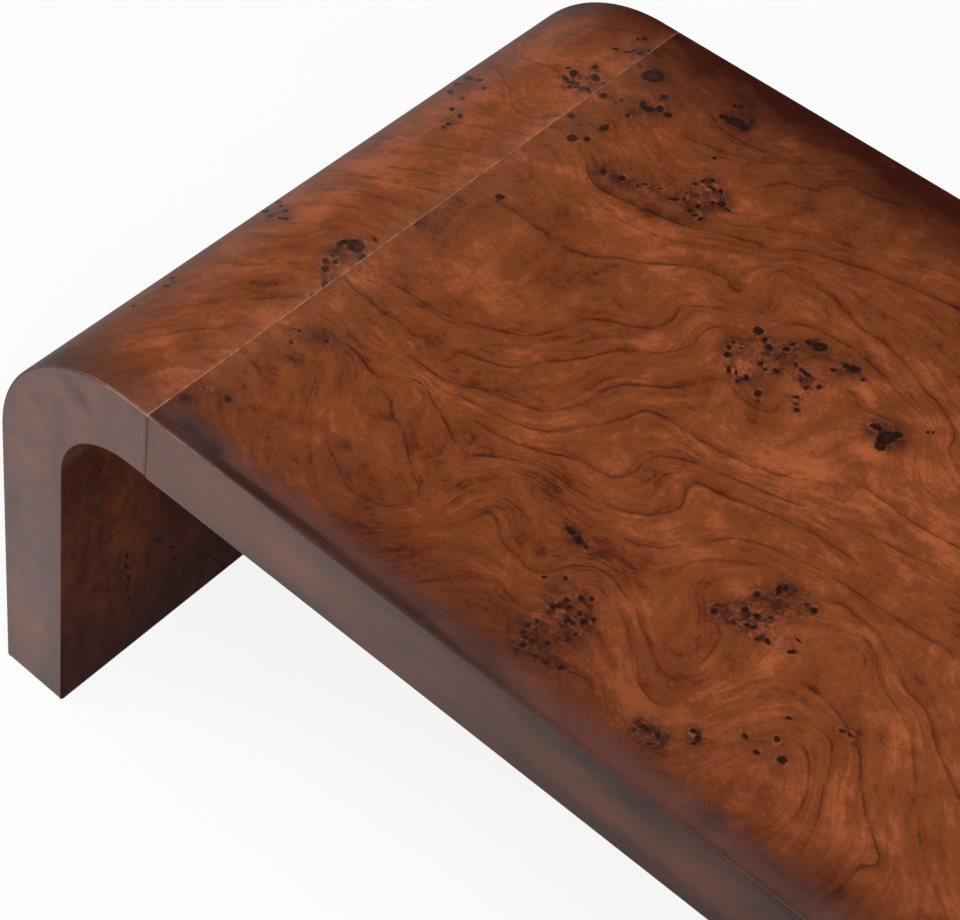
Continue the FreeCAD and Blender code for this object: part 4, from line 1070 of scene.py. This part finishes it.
def legOuterLeaf(side, seed):
    rng = np.random.default_rng(seed)
    place, length = placeLeg(side, outerRadius, 1)
    leftUnit = side < 0
    made = swirlPhase(rng, (0.1, length), acrossLeaf, lines=31.0, swells=30, lean=0.25)
    lines, shapes, patches, smudges = [], [], [], []
    if leftUnit:
        lines = drawnLines(bendLines, onBend)
        drawn = phaseThrough(lines)
        shapes = eyeShapes(bendEyes, onBend, 0.88)
        patches = placed(bendPatches, onBend, bend["pixel"])
        smudges = placed(bendSmudges, onBend, bend["pixel"])
    firstRun = 0.2 if leftUnit else 0.02
    spots = spotsIn(rng, 6, (firstRun, length - 0.05), (-0.25, 0.25))
    shapes = shapes + scatteredEyes(rng, spots, **bend["madeEyes"])
    patches += madePatches(rng, 30, (firstRun, length), acrossLeaf, reach=(0.015, 0.05))

    def phase(u, w):
        if not leftUnit:
            return made(u, w) + 12.0
        blend = smoothStep(*bend["made"], u)
        return drawn(u, w) * (1 - blend) + (made(u, w) + 9.0) * blend

    def along(key, distance):
        strength, reach = bend[key]
        return strength * bell(distance, reach)

    def toner(u, w):
        front = along("tonerFront", w + halfWidth) * smoothStep(0.0, 0.03, u)
        return front + along("tonerFoot", length - u)

    def burnt(u, w):
        # stain along the edges and the foot, and painted shade where the bend turns down
        strength, reach = bend["back"]
        result = strength * fadeIn(halfWidth - w, reach, 1.15) + bend["turned"] * smoothStep(0.12, 0.18, u)
        result += along("corner", w + halfWidth) * smoothStep(0.02, 0.16, u)
        return result + along("front", w + halfWidth) + along("foot", length - u)

    def rub(u, w):
        # painted highlight on the seam's eased edge, painted glint low on the front arris near the seam,
        # and painted sheen over the flat part
        end = smoothStep(1.0 * mm, 0.4 * mm, u) * (0.8 - 0.9 * w)
        low = lowOnArris(w) * smoothStep(0.05, 0.035, u)
        base, strength, reach = bend["haze"]
        haze = (base + strength * bell(u, reach)) * smoothStep(0.14, 0.06, u)
        return bend["paleEnd"] * end + bend["paleLine"] * low + haze * smoothStep(0.0, 0.06, halfWidth - w)

    name = sideName[side] + "_leg_outer_"
    us = endLines(length, cell["bend"], arris["seam"], arris["foot"])
    ws = crossLines(cell["bend"])
    mesh, u, w = latticeMesh(name + "leaf", us, ws, place, backLines(), nearEyes(shapes, 1.6))
    base = 0.15 if leftUnit else 0.6
    edges = dict(toner=toner, burnt=burnt, rub=rub)
    dressLeaf(mesh, u, w, phase, shapes, patches, base=base, lines=lines, smudges=smudges, **edges)
    material = burlMaterial("burl_" + sideName[side] + "_bend", seed, lift=0.04, figured=0.8)
    finishPiece(mesh, material, [name + "veneer"])


# eyes and smudges of the left inner leaf, and soot on the left front edge, as on the top
innerEyes = [
    (127, 556, 5, 8), (126, 566, 6, 9), (129, 578, 7, 9), (127, 588, 6, 8), (129, 599, 6, 9),
    (131, 609, 4, 6), (171, 547, 7, 5), (174, 559, 5, 7), (209, 555, 9, 6), (216, 560, 8, 8),
    (223, 565, 8, 8), (219, 572, 7, 7), (227, 573, 6, 8), (84, 455, 6, 3), (100, 470, 5, 3),
]
innerSmudges = [(127, 563, 16, 0.6), (128, 592, 14, 0.6), (173, 552, 12, 0.4), (216, 563, 18, 0.9)]
legSoot = [
    (79, 396, 8, 0.75), (86, 406, 6, 0.5), (70, 382, 7, 0.4), (34, 396, 6, 0.45), (40, 403, 5, 0.3),
    (41, 481, 6, 0.4), (28, 440, 7, 0.25), (95, 432, 6, 0.25), (112, 404, 8, 0.3), (30, 600, 12, 0.3),
]


# the inner faces: toner and stain along the edges, darker at the foot, and painted shade all over
inner = dict(
    madeEyes=dict(count=(5, 12), reach=9 * mm, size=(2.2 * mm, 6 * mm)),
    toner=(0.25, 24 * mm),          # along both long edges
    stain=0.85,                     # scales the rest
    edges=(0.2, 40 * mm),
    foot=(0.4, 90 * mm),
    # painted shade all over the inner face
    all=0.30,
    turned=0.36,                    # painted shade past the bend
    far=0.55,                       # painted shade towards the back, under the table
    # its negative lift darkens the inner faces as painted shade
    finish=dict(toned=0.5, gloss=0.04, lift=-0.16, smear=(1.0, 1.0, 0.35), stained="innerBurnt"),
)


def legInnerLeaf(side, seed):
    rng = np.random.default_rng(seed)
    place, length = placeLeg(side, innerRadius, -1)
    made = swirlPhase(rng, (0.0, length), acrossLeaf, lines=27.0, swells=24, lean=-0.15)
    shapes, smudges = [], []
    if side < 0:
        shapes = eyeShapes(innerEyes, onInnerLeg)
        smudges = placed(innerSmudges, onInnerLeg, 1.0)
    spots = spotsIn(rng, 4, (0.02, length - 0.05), (-0.25, 0.25))
    shapes = shapes + scatteredEyes(rng, spots, **inner["madeEyes"])
    patches = madePatches(rng, 26, (0, length), acrossLeaf, reach=(0.02, 0.05), strength=(-0.5, 0.4))

    def along(key, distance):
        strength, reach = inner[key]
        return strength * bell(distance, reach)

    def toner(u, w):
        return along("toner", halfWidth - np.abs(w))

    def burnt(u, w):
        # stain along the edges, darker at the foot, and painted shade all over, more past the bend and
        # towards the back
        result = along("edges", halfWidth - np.abs(w)) + along("foot", length - u) + inner["all"]
        result += inner["turned"] * smoothStep(0.06, 0.2, u) + inner["far"] * smoothStep(-0.26, 0.04, w)
        return inner["stain"] * result

    name = sideName[side] + "_leg_inner_"
    us = endLines(length, cell["bend"], arris["seam"], arris["foot"])
    ws = crossLines(cell["bend"])
    mesh, u, w = latticeMesh(name + "leaf", us, ws, place, backLines(), nearEyes(shapes, 1.4))
    dressLeaf(mesh, u, w, made, shapes, patches, base=0.4, smudges=smudges, toner=toner, burnt=burnt)
    material = burlMaterial("burl_" + sideName[side] + "_inner", seed, **inner["finish"])
    finishPiece(mesh, material, [name + "veneer"])


edge = dict(
    top=30.1 * mm,          # half height of the edge leaf up to the rounded long edge
    underside=31.0 * mm,    # half height down to the flat underside leaf
    seam=0.5 * mm,          # easing of its ends
    foot=1.3 * mm,
    madeEyes=dict(count=(1, 4), reach=6 * mm, size=(1.6 * mm, 3.5 * mm)),
    toner=(0.88, 0.08, 9 * mm),     # all over, and more of it high up
    low=18 * mm,            # reach of the stain along the lower and the upper long edge
    high=8 * mm,
    finish=dict(toned=0.9, figured=0.3),
)


def edgeLeaf(name, place, length, ws, seed, endReach, stain, soot=(), **finish):
    # stain gives what lies along the leaf: stain all over, low and high, and where the toner is bare
    rng = np.random.default_rng(seed)
    made = swirlPhase(rng, (0.0, length), ws[[0, -1]], lines=55.0, swells=20, lean=0.05)
    spots = spotsIn(rng, 3, (0.03, length - 0.03), (ws[0] * 0.7, ws[-1] * 0.7))
    shapes = scatteredEyes(rng, spots, **edge["madeEyes"])
    patches = madePatches(rng, int(length / 0.03), (0, length), ws[[0, -1]], reach=(0.01, 0.035))
    twoSeams = endReach == edge["seam"]

    def seamGap(u):
        # 1 in the eased end beside a seam
        return smoothStep(0.7 * mm, 0.35 * mm, np.minimum(u, length - u) if twoSeams else u)

    def toner(u, w):
        base, more, reach = edge["toner"]
        return (base + more * bell(ws[-1] - w, reach)) * (1 - seamGap(u)) * (1 - stain["bare"](u))

    def burnt(u, w):
        low = stain["low"](u) * bell(w - ws[0], edge["low"])
        high = stain["high"](u) * bell(ws[-1] - w, edge["high"])
        return stain["all"](u) + low + high + seamGap(u) + patchTone(soot, u, w)

    us = endLines(length, cell["edge"], edge["seam"], endReach)
    mesh, u, w = latticeMesh(name + "leaf", us, ws, place, ws[[0, -1]], nearEyes(shapes, 1.2))
    dressLeaf(mesh, u, w, made, shapes, patches, base=0.25, toner=toner, burnt=burnt)
    material = burlMaterial("burl_" + name + "leaf", seed, **edge["finish"], **finish)
    finishPiece(mesh, material, [name + "veneer"])


# stain of the centre's edges at these distances from the nearer seam
centreEdge = dict(
    marks=(0, 0.09, 0.16, 0.24, 0.32, 0.4, 0.44),
    all=(0, 0.12, 0.26, 0.36, 0.56, 0.56, 0.32),
    low=(0.1, 0.38, 0.49, 0.40, 0.20, 0.20, 0.40),
    high=(0.22, 0.26, 0.32, 0.55, 0.55, 0.45, 0.35),
    smear=(0.2, 1.0, 1.0),
)


def centreEdgeLeaf(face, seed):
    middle = (topZ + undersideZ) / 2

    def place(u, w, depth):
        drop = depth
        if depth == 0.0:
            drop = easedEnd(np.minimum(u, 2 * seamX - u), edge["seam"])
        return np.stack([u - seamX, face * (halfWidth - drop) + 0 * w, middle + w], 1)

    def along(key):
        return lambda u: np.interp(np.minimum(u, 2 * seamX - u), centreEdge["marks"], centreEdge[key])

    stain = {key: along(key) for key in ("all", "low", "high")}
    stain["bare"] = lambda u: 0.0
    ws = spaced(-edge["underside"], edge["top"], cell["edge"])
    name = "centre_" + faceName[face] + "_edge_"
    edgeLeaf(name, place, 2 * seamX, ws, seed, edge["seam"], stain, smear=centreEdge["smear"])


# stain of a bent unit's edges: at the seam, more past the bend, more at the foot, over that much of it
legEdge = dict(
    all=(0.0, 0.13, 0.24, 0.28, 0.12),
    low=(0.08, 0.26, 0.26, 0.1, 0.25),
    high=(0.14, 0.0, 0.24, 0.1, 0.2),
    bare=(0.0, 0.0, 0.24, 0.26, 0.14),
    smear=(1.0, 1.0, 0.5),
)


def legEdgeLeaf(side, face, seed):
    middle = (outerRadius + innerRadius) / 2
    length = flatRun + middle * math.pi / 2 + bendZ - footZ

    def place(u, w, depth):
        drop = depth
        if depth == 0.0:
            drop = easedEnd(u, edge["seam"]) + easedEnd(length - u, edge["foot"])
        x, z, nx, nz = pathPoint(u, middle)
        return np.stack([side * (x + nx * w), face * (halfWidth - drop) + 0 * w, z + nz * w], 1)

    def along(key):
        start, turned, turnedBy, foot, reach = legEdge[key]
        return lambda u: (start + turned * smoothStep(0.10, turnedBy, u)
                          + foot * smoothStep(length - reach, length, u))

    stain = {key: along(key) for key in ("all", "low", "high", "bare")}
    soot = placed(legSoot, onLeftFront, 1.1) if side < 0 and face < 0 else []
    ws = spaced(-edge["top"], edge["top"], cell["edge"])
    name = sideName[side] + "_leg_" + faceName[face] + "_edge_"
    finish = dict(smear=legEdge["smear"], sprayed="legToner")
    edgeLeaf(name, place, length, ws, seed, edge["foot"], stain, soot, **finish)


topLeaf()
print("leaves: centre top")
for side, seed in ((-1, 11), (1, 12)):
    legOuterLeaf(side, seed)
    legInnerLeaf(side, seed + 10)
print("leaves: bent units")
for face, seed in ((-1, 31), (1, 32)):
    centreEdgeLeaf(face, seed)
    legEdgeLeaf(-1, face, seed + 10)
    legEdgeLeaf(1, face, seed + 20)
print("leaves: edges")


timber = dict(
    plywood=dict(light=shade(214, 178, 130), dark=shade(178, 132, 86), along=0, ply=1.5, rough=0.62),
    core_timber=dict(light=shade(205, 168, 118), dark=shade(168, 126, 80), along=1, ply=0, rough=0.66),
    beech=dict(light=shade(222, 182, 138), dark=shade(190, 142, 98), along=0, ply=0, rough=0.55),
    backing_veneer=dict(light=shade(112, 66, 44), dark=shade(74, 38, 26), along=0, ply=0, rough=0.42),
)


def timberMaterial(name, plyAxis=None):
    # straight-grained wood; plyAxis shows the plies as bands across that axis
    wood = timber[name]
    made, start = newMaterial(name + ("" if plyAxis is None else "_" + "xyz"[plyAxis]))
    point = objectPoint(start)
    stretch = [160.0, 160.0, 160.0]
    stretch[wood["along"]] = 7.0
    figure = point.stretched(*stretch)
    fibre = figure.noise(1.0, 5, 0.65, 0.4)
    rings = (figure.stretched(0.16, 0.16, 0.16).noise(1.0, 2, 0.5) * 9.0).fraction()
    pores = figure.stretched(3.0, 3.0, 3.0).cells(1.0).rise(0.10, 0.30)
    amount = fibre * 0.7 + rings * 0.35 - 0.15
    colour = mixColour(amount.kept(), wood["light"], wood["dark"])
    height = fibre * 0.6 + pores * 0.4
    if wood["ply"]:
        coordinate = point.parts()[plyAxis]
        band = (coordinate * (1000.0 / wood["ply"] / 2)).fraction().rise(0.44, 0.56)
        colour = mixColour(band * 0.55, colour, wood["dark"])
        height = height + band * 0.3
    colour = mixColour((1.0 - pores) * 0.35, colour, wood["dark"])
    bump = start.node("ShaderNodeBump", {}, {"Strength": 0.35, "Distance": 0.0002, "Height": height})
    rough = fibre * 0.16 + (wood["rough"] - 0.08)
    finishSurface(start, {"Base Color": colour, "Roughness": rough, "Normal": bump})
    return made


thread = dict(
    shaft=4.0 * mm,      # radius
    ease=0.35 * mm,      # rounding of the head
    pitch=1.25 * mm,     # M8
    depth=0.55 * mm,
    around=24,
    steps=6,             # rings to a turn
    plain=1.4 * mm,      # smooth neck above the pad
    lead=0.8 * mm,       # tapered end
)


def stemRings(name):
    # radius, height and thread depth of each ring of a stem: head in its pad, neck, threaded length
    low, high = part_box(name)
    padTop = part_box(name.replace("stem", "pad"))[1].z
    head, shaft, ease = (high.x - low.x) / 2, thread["shaft"], thread["ease"]
    neck = padTop + thread["plain"]
    rings = [
        (head - ease, low.z, 0), (head, low.z + ease, 0), (head, padTop - ease, 0),
        (head - ease, padTop, 0), (shaft + ease, padTop, 0), (shaft, padTop + ease, 0), (shaft, neck, 0),
    ]
    for height in np.arange(neck, high.z - thread["lead"], thread["pitch"] / thread["steps"])[1:]:
        rings.append((shaft, height, thread["depth"]))
    rings.append((shaft - thread["depth"] - ease, high.z, 0))
    return rings


def threadedStem(name, body, material):
    low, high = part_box(name)
    middle = (low + high) / 2
    count = thread["around"]
    points, faces = [], []
    rings = stemRings(name)
    for radius, z, depth in rings:
        for k in range(count):
            angle = 2 * math.pi * k / count
            rise = (z / thread["pitch"] - k / count) % 1.0     # the ridge climbs one pitch in a turn
            out = radius - depth * (1 - abs(2 * rise - 1))
            points.append((middle.x + out * math.cos(angle), middle.y + out * math.sin(angle), z))
    for ring in range(len(rings) - 1):
        for k in range(count):
            a, b = ring * count + k, ring * count + (k + 1) % count
            faces.append((a, b, b + count, a + count))
    faces.append(tuple(range(count)))
    faces.append(tuple(range(len(points) - count, len(points))))
    mesh = bpy.data.meshes.new(name.replace("stem", "screw"))
    mesh.from_pydata(points, [], faces)
    finishPiece(mesh, material, [name], body)


metals = dict(
    zinc_steel=dict(colour=shade(188, 190, 193), tint=shade(160, 158, 150), rough=0.34),
    brass=dict(colour=shade(205, 168, 92), tint=shade(168, 126, 62), rough=0.30),
)


def metalMaterial(name):
    metal = metals[name]
    made, start = newMaterial(name)
    point = objectPoint(start)
    cloud = point.noise(160, 4, 0.6)
    spangle = point.cells(420).other("Distance")
    scratch = point.stretched(1.0, 1.0, 9.0).noise(260, 3, 0.6)
    colour = mixColour((cloud * 0.8 + spangle * 0.3).rise(0.25, 0.85), metal["colour"], metal["tint"])
    rough = scratch * 0.18 + cloud * 0.10 + (metal["rough"] - 0.12)
    height = scratch + cloud
    bump = start.node("ShaderNodeBump", {}, {"Strength": 0.2, "Distance": 0.0001, "Height": height})
    finishSurface(start, {"Base Color": colour, "Metallic": 1.0, "Roughness": rough, "Normal": bump})
    return made


nylon = dict(colour=shade(30, 30, 32), worn=shade(58, 57, 56), rough=0.52)


def nylonMaterial():
    made, start = newMaterial("black_nylon")
    point = objectPoint(start)
    grainy = point.noise(1600, 2, 0.6)
    cloud = point.noise(90, 3, 0.6)
    low = point.parts()[2].rise(0.0016, 0.0, 0.0, 0.6)
    colour = mixColour((cloud * 0.3 + low).kept(), nylon["colour"], nylon["worn"])
    bump = start.node("ShaderNodeBump", {}, {"Strength": 0.3, "Distance": 0.0002, "Height": grainy + cloud})
    rough = grainy * 0.12 + (nylon["rough"] - 0.06)
    finishSurface(start, {"Base Color": colour, "Roughness": rough, "Normal": bump})
    return made


def carryOver(zinc):
    # every CAD node that still shows gets the finish of its slot
    plySkin = {"flat": timberMaterial("plywood", 2), "leg": timberMaterial("plywood", 0)}
    plain = {name: timberMaterial(name) for name in ("core_timber", "beech", "backing_veneer")}
    plain.update(zinc_steel=zinc, brass=metalMaterial("brass"), black_nylon=nylonMaterial())
    words = (
        ("underside_veneer", "backing_veneer"), ("dowels", "beech"), ("inserts", "brass"),
        ("studs", "zinc_steel"), ("washers", "zinc_steel"), ("nuts", "zinc_steel"), ("stem", "zinc_steel"),
        ("pad", "black_nylon"), ("caps", "black_nylon"),
    )
    for name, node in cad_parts.items():
        if node.hide_render:
            continue
        if "skin" in name:
            chosen = plySkin["leg" if "leg" in name else "flat"]
        else:
            found = [slot for word, slot in words if word in name]
            chosen = plain[found[0] if found else "core_timber"]
        node.data.materials.clear()
        node.data.materials.append(chosen)


zinc = metalMaterial("zinc_steel")
for name in sorted(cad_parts):
    if name.endswith("leveller_stem"):
        threadedStem(name, name.replace("_stem", ""), zinc)
carryOver(zinc)
print("levellers and the finishes of the CAD nodes that show")


floor = dict(
    size=14.0,
    colour=shade(238, 238, 238),
    cloud=shade(232, 232, 233),
    plain=0.86,                   # how much of it is plain white to the camera
    mirrored=(0.16, 0.80),        # its brightness in the lacquer, behind and in front of the table
    front=(0.25, -0.35),          # y over which that changes
    along=(-0.50, -0.08, 0.30),   # x over which the front part dims, and what is left
)


def makeFloor():
    made, start = newMaterial("floor")
    point = objectPoint(start)
    colour = mixColour(point.noise(3, 4, 0.6), floor["colour"], floor["cloud"])
    light = start.node("ShaderNodeLightPath", {}, {})
    seen = light.other("Is Camera Ray") + light.other("Is Glossy Ray") + light.other("Is Transmission Ray")
    x, y = point.parts()[:2]
    ahead = y.rise(*floor["front"], *floor["mirrored"])
    dims = x.rise(floor["along"][0], floor["along"][1], 1.0, floor["along"][2])
    strength = mixValue(light.other("Is Glossy Ray"), 1.0, ahead * dims)
    diffuse = start.node("ShaderNodeBsdfDiffuse", {}, {"Color": colour})
    white = start.node("ShaderNodeEmission", {}, {"Color": (1, 1, 1, 1), "Strength": strength})
    mixed = start.node("ShaderNodeMixShader", {}, {0: seen.kept() * floor["plain"], 1: diffuse, 2: white})
    start.node("ShaderNodeOutputMaterial", {}, {"Surface": mixed})
    half = floor["size"] / 2
    mesh = bpy.data.meshes.new("floor")
    corners = [(-half, -half, 0), (half, -half, 0), (half, half, 0), (-half, half, 0)]
    mesh.from_pydata(corners, [], [(0, 1, 2, 3)])
    mesh.materials.append(made)
    piece = bpy.data.objects.new("floor", mesh)
    scene.collection.objects.link(piece)


world = dict(fill=0.55, low=0.28, high=0.015, lowEdge=0.0, highEdge=0.42)


def makeWorld():
    made = bpy.data.worlds.new("studio")
    made.use_nodes = True
    made.node_tree.nodes.clear()
    start = Wire(made.node_tree)
    direction = start.node("ShaderNodeTexCoord", {}, {}, out=0)
    up = direction.parts()[2]
    light = start.node("ShaderNodeLightPath", {}, {})
    plain = light.other("Is Camera Ray")
    mirrored = light.other("Is Glossy Ray") + light.other("Is Transmission Ray")
    ceiling = up.rise(world["lowEdge"], world["highEdge"], world["low"], world["high"])
    strength = plain + mirrored * ceiling + (1.0 - (plain + mirrored).kept()) * world["fill"]
    back = start.node("ShaderNodeBackground", {}, {"Color": (1, 1, 1, 1), "Strength": strength})
    start.node("ShaderNodeOutputWorld", {}, {"Surface": back})
    scene.world = made


lamps = dict(
    key=dict(place=(0.9, -1.4, 2.6), size=2.4, power=62.0),
    fill=dict(place=(-2.2, -1.2, 1.7), size=1.8, power=20.0),
)


def makeLamps():
    for name, lamp in lamps.items():
        data = bpy.data.lights.new(name, "AREA")
        data.shape = "DISK"
        data.size = lamp["size"]
        data.energy = lamp["power"]
        holder = bpy.data.objects.new(name, data)
        scene.collection.objects.link(holder)
        place = Vector(lamp["place"])
        toward = (Vector((0, 0, 0.3)) - place).to_track_quat("-Z", "Y")
        holder.matrix_world = Matrix.Translation(place) @ toward.to_matrix().to_4x4()


makeFloor()
makeWorld()
makeLamps()
print("stage: floor, world and lamps")

scene.view_settings.view_transform = "Standard"
print("scene: done")
